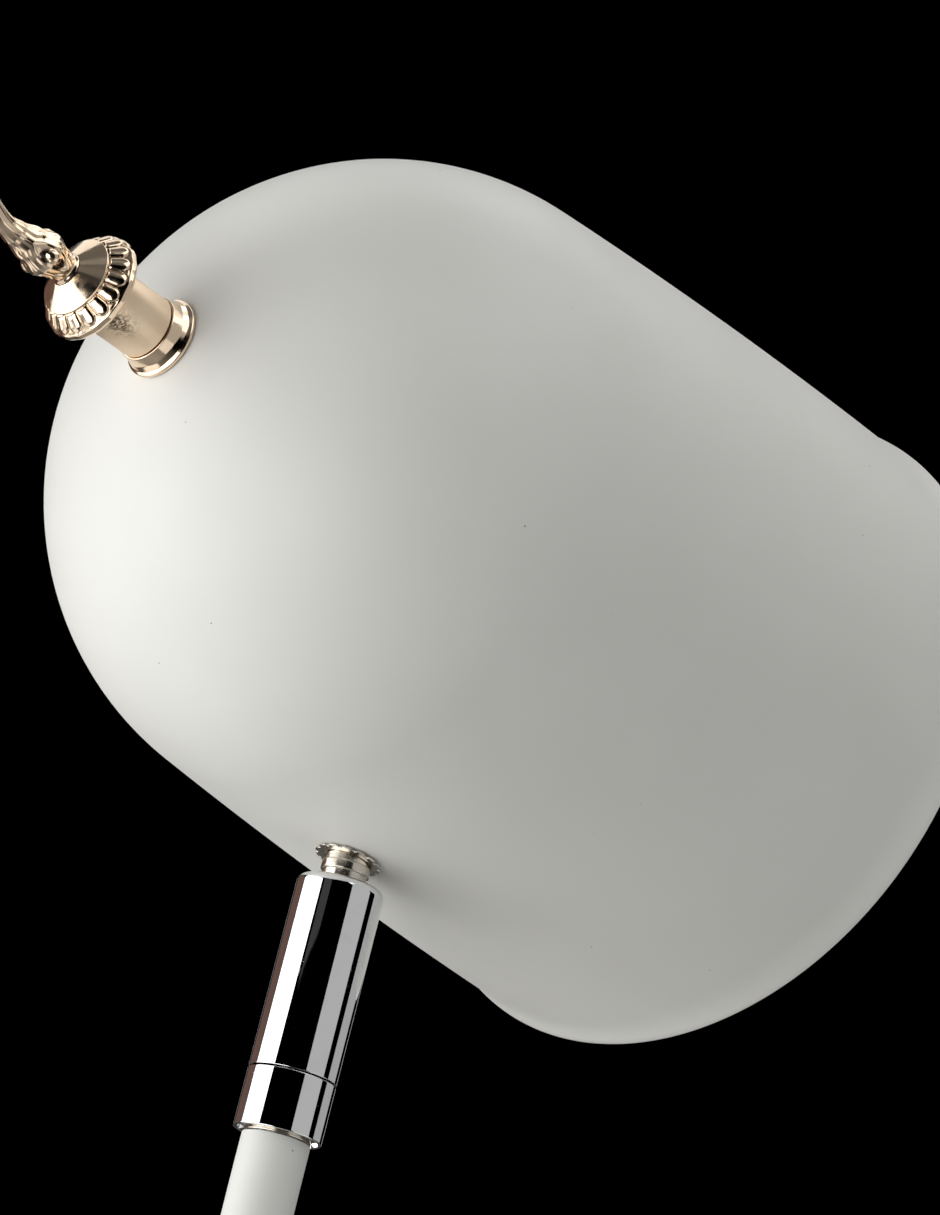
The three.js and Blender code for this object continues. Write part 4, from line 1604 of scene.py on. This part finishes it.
@dataclass
class Finial:
    """Gilt finial on the crown: a trumpet flange, a satin neck, a fluted cup and a cast handle."""

    neck_r: float = 9.5
    flange_r: float = 12.2
    flange_h: float = 6.4
    stud_r: float = 4.75
    washer_hole: float = 4.7
    crown_depth: float = 93.5
    cup_back: float = 27.5
    cup_widest: float = 29.5
    cup_ring: float = 35.5
    cup_tip: float = 39.4
    cup_r: float = 15.9
    ring_r: float = 11.4
    tip_r: float = 5.0
    flutes: int = 18
    flute_depth: float = 1.35
    bulge_r: float = 6.5
    rod_r: float = 2.9
    beads: int = 3
    bead_out: float = 9.2
    bead_length: float = 2.5
    bead_width: float = 1.8
    bead_heading: float = math.radians(-110.0)
    vein_pitch: float = 2.3
    vein_height: float = 0.26
    vein_ground: float = 0.12
    veins_fade: float = 22.0
    veins_end: float = 40.0
    rod_end: float = 119.4
    ball_r: float = 5.4
    rub_heading: float = math.radians(-140.0)
    rub_out: float = 21.5
    rub_length: float = 5.0
    rub_angle: float = 0.33
    crown_nut_r: float = 9.0

    def build(self, shop: Workshop, lines: Lines) -> None:
        """Build the finial's pieces.

        Args:
            shop: The workshop.
            lines: The lamp's working lines.
        """
        finishes = shop.finishes
        crown = lines.crown
        inside = lines.shade.moved(-self.crown_depth)
        nut = nut_mesh("crown_nut", self.crown_nut_r, self.washer_hole, 2.5, 6.5)
        shop.fit(self.flange(), crown, Body.HEAD, finishes.bright_gilt, "finial_flange")
        shop.fit(self.neck(), crown, Body.HEAD, finishes.satin_gilt, "finial_neck")
        shop.fit(self.cup(), crown, Body.HEAD, finishes.bright_gilt, "fluted_cup")
        shop.fit(self.handle(), crown, Body.HEAD, finishes.bright_gilt, "finial_handle")
        shop.fit(nut, inside, Body.HEAD, finishes.steel, "finial_nut")
        shop.fit(self.washer(), inside, Body.HEAD, finishes.steel, "finial_washer")
        shop.dress(finishes.steel, "finial_stud")

    def flange(self) -> Mesh:
        """Return the trumpet flange, hollowed beneath to sit on the dome.

        Returns:
            The mesh.
        """
        shade = Shade()

        def sag(radius: float) -> float:
            """Return how far back the dome lies at a radius, with a hair's clearance."""
            return shade.dome_h * (math.sqrt(1 - (radius / shade.dome_r) ** 2) - 1) + 0.3

        rim = sag(self.flange_r)
        outline = [
            Corner(self.stud_r, sag(self.stud_r), 0.2),
            Corner(9.0, sag(9.0)),
            Corner(self.flange_r, rim, 0.5),
            Corner(self.flange_r, rim + 1.2, 0.6),
            Corner(self.flange_r - 0.9, rim + 1.9, 0.9),
            Corner(self.neck_r + 1.1, 3.0, 2.6),
            Corner(self.neck_r + 0.4, self.flange_h, 0.3),
            Corner(self.stud_r, self.flange_h, 0.2),
        ]
        return turned("trumpet_flange", softened(outline, steps=8), 192)

    def neck(self) -> Mesh:
        """Return the satin neck, with a value that marks where it is rubbed.

        Returns:
            The mesh.
        """
        low = self.flange_h + 0.3
        high = self.cup_widest + 0.5
        outline = ring_section(self.stud_r, self.neck_r, low, high, (0.2, 0.3, 0.3, 0.2))
        mesh = turned("satin_neck", divided(softened(outline), 0.5), 160)
        places = np.zeros(len(mesh.vertices) * 3, np.float32)
        mesh.vertices.foreach_get("co", places)
        x, y, z = places.reshape(-1, 3).T / MM
        angle = np.arctan2(y, x)
        aside = (angle - self.rub_heading + np.pi) % (2 * np.pi) - np.pi
        patch = np.exp(-((aside / self.rub_angle) ** 2) - ((z - self.rub_out) / self.rub_length) ** 2)
        mesh.attributes.new("rubbed", "FLOAT", "POINT").data.foreach_set("value", patch.astype(np.float32))
        return mesh

    def cup(self) -> Mesh:
        """Return the cup: round-ended flutes from the ring to a scalloped rim, under a smooth cone.

        Returns:
            The mesh.
        """
        back = self.cup_widest + 0.8
        outline = [
            Corner(self.neck_r + 1.2, back, 0.4),
            Corner(self.neck_r + 1.2, self.cup_back + 1.0, 0.4),
            Corner(self.cup_r - 2.2, self.cup_back, 0.6),
            Corner(self.cup_r - 0.4, self.cup_back + 0.2, 0.6),
            Corner(self.cup_r, self.cup_back + 1.1, 0.7),
            Corner(self.cup_r - 0.2, self.cup_widest + 0.3, 0.6),
            Corner(self.cup_r - 1.3, self.cup_widest + 1.4, 1.0),
            Corner(self.ring_r - 0.4, self.cup_ring - 0.9, 0.3),
            Corner(self.ring_r + 0.3, self.cup_ring - 0.35, 0.12),
            Corner(self.ring_r + 0.25, self.cup_ring + 0.1, 0.12),
            Corner(self.tip_r + 0.35, self.cup_tip - 0.2, 0.4),
            Corner(self.tip_r, self.cup_tip, 0.2),
            Corner(self.stud_r, self.cup_tip, 0.05),
            Corner(self.stud_r, back, 0.2),
        ]
        points = divided(softened(outline, steps=6), 0.22)

        def petal(angles: np.ndarray, radius: float, height: float) -> np.ndarray:
            """Return how full the round-ended flutes are.

            Args:
                angles: The angles round the line.
                radius: The outline's radius there.
                height: The outline's height there.

            Returns:
                The value at each angle.
            """
            start = self.cup_ring - 0.5
            end = self.cup_widest + 0.9
            if radius < self.ring_r - 0.6 or not end < height < start:
                return np.zeros_like(angles)
            across = (self.flutes * angles / np.pi) % 2 - 1
            tip = min(1.0, (height - end) / 1.9)
            root = min(1.0, (start - height) / 0.8)
            half = 0.93 * math.sqrt(1 - (1 - tip) ** 2) * (0.7 + 0.3 * root)
            return np.sqrt(np.clip(1 - (across / max(half, 0.05)) ** 2, 0.0, 1.0)) * half

        def fluted(angles: np.ndarray, radius: float, height: float) -> np.ndarray:
            """Raise the flutes, and wave the rim behind them a little.

            Args:
                angles: The angles round the line.
                radius: The outline's radius there.
                height: The outline's height there.

            Returns:
                The extra radius at each angle.
            """
            rim = self.cup_r - 1.2 < radius and height < self.cup_widest + 0.9
            wave = 0.1 * np.cos(self.flutes * angles + np.pi) if rim else 0.0
            return self.flute_depth * petal(angles, radius, height) + wave

        def between(angles: np.ndarray, radius: float, height: float) -> np.ndarray:
            """Mark the valleys between the flutes, for the painted shade and patina that the gilt finish
            puts there.
            """
            inside = radius > self.ring_r - 0.6 and self.cup_widest + 0.6 < height < self.cup_ring - 0.6
            return (1 - np.clip(petal(angles, radius, height) * 3, 0.0, 1.0)) * (0.8 if inside else 0.0)

        return turned("gadrooned_cup", points, 28 * self.flutes, fluted, hollow=between)

    def handle(self) -> Mesh:
        """Return the cast handle: a leafy swelling with beads, then a rod that ends in a ball.

        Returns:
            The mesh.
        """
        base = self.cup_tip + 0.3
        step = 0.25
        lift = 0.001
        outline: list[Point] = [(0.0, base)]
        for i in range(int((self.rod_end - base) / step)):
            height = base + step * i
            outline.append((self.handle_radius(height, base), height + lift))
        outline.append((0.0, self.rod_end))
        sides = 132

        def faded(out: float) -> float:
            """Return how much of the veins is left at a distance out from the cup's tip."""
            return np.clip((self.veins_end - out) / self.veins_fade, 0.0, 1.0)

        def vein(angles: np.ndarray, height: float) -> tuple[np.ndarray, np.ndarray]:
            """Return the veins' height and the beads' height round the handle at a distance.

            Args:
                angles: The angles round the line.
                height: The outline's height there.

            Returns:
                The veins' heights and the beads' heights.
            """
            pitch = 2 * np.pi / self.beads
            aside = (angles - self.bead_heading + pitch / 2) % pitch - pitch / 2
            out = height - base
            width = np.abs(aside) * self.handle_radius(height, base)
            along = (out - self.bead_out) / (self.bead_length + 4.5)
            eye = (self.bead_width + 0.7) * np.clip(1 - along**2, 0.0, 1.0)
            ridges = 0.5 + 0.5 * np.cos(2 * np.pi * (width - eye - 0.5) / self.vein_pitch)
            fade = np.clip((out - 1.0) / 2.0, 0.0, 1.0) * faded(out)
            veins = np.where(width > eye, ridges, 0.0) * fade
            far = (width / self.bead_width) ** 2 + ((out - self.bead_out) / self.bead_length) ** 2
            beads = np.sqrt(np.clip(1 - far, 0.0, 1.0))
            return veins, beads

        def leafy(angles: np.ndarray, radius: float, height: float) -> np.ndarray:
            """Raise the veins and the beads.

            Args:
                angles: The angles round the line.
                radius: The outline's radius there.
                height: The outline's height there.

            Returns:
                The extra radius at each angle.
            """
            if radius < 1.0:
                return np.zeros_like(angles)
            veins, beads = vein(angles, height)
            return self.vein_height * veins - self.vein_ground + beads

        def grooves(angles: np.ndarray, radius: float, height: float) -> np.ndarray:
            """Mark the grooves between the veins, for the painted shade and patina that the gilt finish
            puts there.

            Args:
                angles: The angles round the line.
                radius: The outline's radius there; not used.
                height: The outline's height there.

            Returns:
                The value at each angle.
            """
            veins, beads = vein(angles, height)
            return np.clip(0.4 - veins - 3 * beads, 0.0, 0.4) * 1.4 * faded(height - base)

        return turned("cast_handle", outline, sides, leafy, HandleRoute(), grooves)

    def handle_radius(self, height: float, base: float) -> float:
        """Return the handle's radius without its veins and beads.

        Args:
            height: The distance along the finial's line.
            base: The distance at which the handle starts.

        Returns:
            The radius there.
        """
        out = height - base
        left = self.rod_end - height
        waist = ((0.0, 5.1), (1.1, 4.5), (3.5, 4.8))
        stops = (*waist, (9.0, self.bulge_r), (14.0, 5.1), (20.0, 3.7), (27.0, 3.1))
        radius = self.rod_r
        for (x0, r0), (x1, r1) in zip(stops, (*stops[1:], (44.0, self.rod_r))):
            if x0 <= out < x1:
                share = (out - x0) / (x1 - x0)
                radius = r0 + (r1 - r0) * share * share * (3 - 2 * share)
        inside = self.ball_r**2 - (left - self.ball_r) ** 2
        return max(radius if left > self.ball_r else 0.0, math.sqrt(max(0.0, inside)))

    def washer(self) -> Mesh:
        """Return the washer inside the crown."""
        outline = ring_section(self.washer_hole, 11.0, 1.0, 2.2, (0.1, 0.2, 0.35, 0.1))
        return turned("crown_washer", softened(outline), 96)


# --------------------------------------------------------------------------------------------- light


@dataclass
class Light:
    """Lampholder and opal bulb on the crown's stud, inside the shade."""

    holder_r: float = 19.0
    cap_low: float = -86.7
    cap_length: float = 16.0
    body_length: float = 30.0
    thread_r: float = 13.6
    bulb_r: float = 30.0
    glass_start: float = 32.9
    glass: float = 1.5

    def build(self, shop: Workshop, lines: Lines) -> None:
        """Build the light's pieces.

        Args:
            shop: The workshop.
            lines: The lamp's working lines.
        """
        finishes = shop.finishes
        line = lines.shade
        shop.fit(self.cap(), line, Body.HEAD, finishes.plastic, "lampholder_cap")
        shop.fit(self.body(), line, Body.HEAD, finishes.plastic, "lampholder_body")
        shop.fit(self.collar(), line, Body.HEAD, finishes.plastic, "lampholder_ring")
        shop.fit(self.bulb(), line, Body.HEAD, finishes.glass, "bulb_globe")
        shop.dress(finishes.nickel, "bulb_cap")
        shop.dress(finishes.steel, "bulb_contact")

    def cap(self) -> Mesh:
        """Return the domed cap over the terminals.

        Returns:
            The mesh.
        """
        low = self.cap_low
        high = low + self.cap_length
        outline = [
            Corner(4.8, low, 0.3),
            Corner(13.0, low, 2.0),
            Corner(self.holder_r, low + 6.0, 3.0),
            Corner(self.holder_r, high - 4.0, 0.2),
            Corner(self.holder_r + 0.4, high - 3.6, 0.2),
            Corner(self.holder_r + 0.4, high, 0.3),
            Corner(self.holder_r - 2.0, high, 0.2),
            Corner(self.holder_r - 2.0, low + 8.0, 1.0),
            Corner(4.8, low + 4.0, 0.3),
        ]
        return turned("holder_cap", softened(outline, steps=6), 128)

    def body(self) -> Mesh:
        """Return the threaded body that the collar screws on.

        Returns:
            The mesh.
        """
        low = self.cap_low + self.cap_length + 0.3
        high = low + self.body_length - 0.3
        floor = low + 5.7
        neck = self.thread_r + 3.0
        outline = [
            Corner(0.0, low),
            Corner(self.holder_r, low, 0.4),
            Corner(self.holder_r, low + 5.7, 0.8),
            Corner(neck, low + 6.7, 0.3),
            Corner(neck, high, 0.6),
            Corner(self.thread_r + 0.8, high, 0.5),
            Corner(self.thread_r + 0.8, floor, 0.5),
            Corner(0.0, floor),
        ]
        points = divided(softened(outline, closed=False), 0.4, closed=False)
        pitch = 2.0

        def threaded(angles: np.ndarray, radius: float, height: float) -> np.ndarray:
            """Cut the collar's thread.

            Args:
                angles: The angles round the line.
                radius: The outline's radius there.
                height: The outline's height there.

            Returns:
                The extra radius at each angle.
            """
            if abs(radius - neck) > 0.05 or not low + 8.0 < height < high - 1.0:
                return np.zeros_like(angles)
            return 0.3 * (np.cos(2 * np.pi * height / pitch - angles) - 1.0)

        return turned("holder_body", points, 144, threaded)

    def collar(self) -> Mesh:
        """Return the ribbed collar.

        Returns:
            The mesh.
        """
        low = self.cap_low + self.cap_length + 10.0
        outer = self.holder_r + 3.0
        outline = ring_section(self.thread_r + 3.4, outer, low, low + 5.0, (0.3, 0.9, 0.9, 0.3))

        def ribbed(angles: np.ndarray, radius: float, _height: float) -> np.ndarray:
            """Raise the gripping ribs."""
            return 0.35 * np.cos(36 * angles) if radius > outer - 0.8 else np.zeros_like(angles)

        return turned("holder_collar", divided(softened(outline), 0.5), 288, ribbed)

    def bulb(self) -> Mesh:
        """Return the pear-shaped glass, open at its cap.

        Returns:
            The mesh.
        """
        low = self.cap_low + self.cap_length + self.glass_start
        shape = [(13.0, 0.0), (14.0, 6.0), (18.5, 18.0), (25.0, 32.0), (29.6, 45.0)]
        shape += [(self.bulb_r, 52.0), (28.4, 61.0), (23.8, 69.5), (16.0, 75.4), (8.0, 77.6), (0.0, 78.0)]
        outer = self.rounded(shape)
        inner = [(max(0.0, r - self.glass), h - self.glass if h > 2 else h) for r, h in outer]
        inner[-1] = (0.0, inner[-1][1])
        outline = [*((r, low + h) for r, h in reversed(outer)), *((r, low + h) for r, h in inner)]
        return turned("opal_bulb", outline, 128)

    @staticmethod
    def rounded(shape: Sequence[Point], steps: int = 6) -> list[Point]:
        """Return a smooth outline through the shape's points, level where it meets the line.

        Args:
            shape: The points of (radius, height) to pass through.
            steps: Segments between two points.

        Returns:
            The smooth outline.
        """
        last = len(shape) - 1
        mirrored = (-shape[last - 1][0], shape[last - 1][1])
        points: list[Point] = []
        for i in range(last):
            before = shape[max(0, i - 1)]
            after = shape[i + 2] if i + 2 <= last else mirrored
            rows = [np.array(p) for p in (before, shape[i], shape[i + 1], after)]
            for k in range(steps):
                spot = eased(rows, k / steps)
                points.append((float(spot[0]), float(spot[1])))
        points.append(shape[last])
        return points


# --------------------------------------------------------------------------------------------- leads


@dataclass
class Leads:
    """The internal lead, out of sight in the stem and seen inside the shade."""

    weld: float = 0.02
    rounds: int = 2

    def build(self, shop: Workshop) -> None:
        """Dress the lead's two lengths and round them.

        Args:
            shop: The workshop.
        """
        for node in ("stem_wire", "head_wire"):
            shop.dress(shop.finishes.sheath, node)
            piece = shop.frame["nodes"][node]
            weld = piece.modifiers.new("weld", "WELD")
            weld.merge_threshold = self.weld * MM
            rounding = piece.modifiers.new("rounding", "SUBSURF")
            rounding.levels = self.rounds
            rounding.render_levels = self.rounds


# -------------------------------------------------------------------------------------------- studio


@dataclass(frozen=True)
class Panel:
    """A soft light, placed by its bearing from the viewer as seen from the swivel."""

    name: str
    bearing: float
    elevation: float
    distance: float
    width: float
    height: float
    glow: float
    colour: Colour = (1.0, 1.0, 1.0)

    def hang(self, target: Vector, towards_viewer: float) -> None:
        """Hang the light and aim it at the target.

        Args:
            target: The point that it faces.
            towards_viewer: The heading from the target to the viewer, in radians.
        """
        heading = towards_viewer + math.radians(self.bearing)
        rise = math.radians(self.elevation)
        level = math.cos(rise)
        away = Vector((math.cos(heading) * level, math.sin(heading) * level, math.sin(rise)))
        lamp = bpy.data.lights.new(self.name, "AREA")
        lamp.shape = "RECTANGLE"
        lamp.size = self.width
        lamp.size_y = self.height
        lamp.energy = self.glow * math.pi * self.width * self.height
        lamp.color = self.colour
        holder = bpy.data.objects.new(self.name, lamp)
        bpy.context.scene.collection.objects.link(holder)
        holder.location = target + away * self.distance
        holder.rotation_euler = away.to_track_quat("Z", "Y").to_euler()
        holder.visible_camera = False
        log.info("hung %s", self.name)


@dataclass
class Studio:
    """Black surroundings, a pale floor and soft panels round the lamp's head."""

    floor_size: float = 7.0
    floor_gap: float = 0.2
    panels: tuple[Panel, ...] = (
        Panel("key_panel", -84.0, 12.0, 1.3, 1.45, 1.5, 1.9),
        Panel("key_core", -75.0, -2.0, 1.25, 0.5, 0.6, 2.6),
        Panel("low_key_panel", -84.0, -40.0, 1.3, 1.2, 0.9, 1.05),
        Panel("front_left_panel", -36.0, -4.0, 1.3, 0.9, 0.95, 2.7),
        Panel("front_dim_card", -33.0, 42.0, 1.3, 0.45, 0.5, 0.045),
        Panel("high_front_card", 0.0, 60.0, 1.5, 1.5, 0.9, 0.12),
        Panel("ceiling_card", 0.0, 89.0, 1.6, 1.4, 1.4, 0.14),
        Panel("front_right_panel", 61.0, 8.0, 1.3, 1.2, 1.4, 0.45),
        Panel("high_right_panel", 61.0, 50.0, 1.4, 1.2, 0.9, 1.64),
        Panel("low_right_panel", 61.0, -38.0, 1.3, 1.2, 0.9, 0.8),
        Panel("back_right_panel", 122.0, 10.0, 1.4, 1.0, 1.4, 0.38),
        Panel("high_back_right_panel", 122.0, 50.0, 1.4, 1.2, 0.9, 1.11),
        Panel("high_back_panel", 180.0, 55.0, 1.5, 1.4, 0.9, 1.0),
        Panel("high_back_left_card", -136.0, 45.0, 1.5, 1.2, 0.9, 0.15),
        Panel("rear_left_card", -136.0, 0.0, 1.6, 1.1, 1.4, 0.13, (1.0, 0.6, 0.48)),
        Panel("rear_left_strip", -170.0, 2.0, 1.6, 0.14, 1.2, 0.5, (0.85, 0.92, 1.0)),
        Panel("rear_right_strip", 168.0, 2.0, 1.6, 0.16, 1.2, 0.6, (0.9, 0.95, 1.0)),
    )

    def build(self, target: Vector, towards_viewer: float) -> None:
        """Build the studio.

        Args:
            target: The point that the panels face.
            towards_viewer: The heading from the target to the viewer, in radians.
        """
        world = bpy.data.worlds.new("studio_dark")
        world.use_nodes = True
        world.node_tree.nodes["Background"].inputs["Color"].default_value = (0.0, 0.0, 0.0, 1.0)
        bpy.context.scene.world = world
        bpy.context.scene.view_settings.view_transform = "Standard"
        for panel in self.panels:
            panel.hang(target, towards_viewer)
        self.lay_floor()

    def lay_floor(self) -> None:
        """Lay the pale floor, a hair under the lamp."""
        sheet = bmesh.new()
        bmesh.ops.create_grid(sheet, x_segments=8, y_segments=8, size=self.floor_size / 2)
        mesh = bpy.data.meshes.new("studio_floor")
        sheet.to_mesh(mesh)
        sheet.free()
        floor = bpy.data.objects.new("studio_floor", mesh)
        floor.location.z = -self.floor_gap * MM
        mesh.materials.append(StudioFloor().material())
        bpy.context.scene.collection.objects.link(floor)


@dataclass(frozen=True)
class Viewpoint:
    """The camera, placed from the dome's centre and aimed a little past it."""

    stand_off: float = 1314.5
    bearing: float = 43.83
    below: float = 3.54
    heading: float = 42.65
    pitch: float = 2.09
    roll: float = 0.525
    lens: float = 133.33
    near: float = 0.05
    far: float = 50.0

    def place(self, dome: Vector) -> Vector:
        """Set up the camera.

        Args:
            dome: The centre of the shade's dome.

        Returns:
            The camera's position.
        """
        back = math.radians(self.bearing)
        drop = math.radians(self.below)
        reach = self.stand_off * MM
        level = math.cos(drop) * reach
        spot = dome - Vector((math.cos(back) * level, math.sin(back) * level, math.sin(drop) * reach))
        heading = math.radians(self.heading)
        pitch = math.radians(self.pitch)
        roll = math.radians(self.roll)
        forward = Vector(
            (math.cos(heading) * math.cos(pitch), math.sin(heading) * math.cos(pitch), math.sin(pitch))
        )
        right = forward.cross(Vector((0.0, 0.0, 1.0))).normalized()
        upright = right.cross(forward)
        upward = upright * math.cos(roll) + right * math.sin(roll)
        rightward = forward.cross(upward)
        data = bpy.data.cameras.new("viewpoint")
        data.lens = self.lens
        data.clip_start = self.near
        data.clip_end = self.far
        camera = bpy.data.objects.new("viewpoint", data)
        bpy.context.scene.collection.objects.link(camera)
        turn = Matrix((rightward, upward, -forward)).transposed().to_4x4()
        camera.matrix_world = Matrix.Translation(spot) @ turn
        bpy.context.scene.camera = camera
        return spot


# ---------------------------------------------------------------------------------------------- main


def main() -> None:
    """Build the lamp's looks in order, then the studio."""
    logging.basicConfig(level=logging.INFO, format="%(name)s: %(message)s")
    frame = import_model()
    shop = Workshop(frame, FinishSet())
    lines = Lines.found(shop)
    Base().build(shop, lines)
    Foot().build(shop, lines)
    Stem().build(shop, lines)
    Swivel().build(shop, lines)
    Shade().build(shop, lines)
    Finial().build(shop, lines)
    Light().build(shop, lines)
    Leads().build(shop)
    viewer = Viewpoint().place(lines.shade.origin)
    past_swivel = 100.0
    target = lines.tube_end.moved(past_swivel).origin
    away = viewer - target
    Studio().build(target, math.atan2(away.y, away.x))


if __name__ == "__main__":
    main()
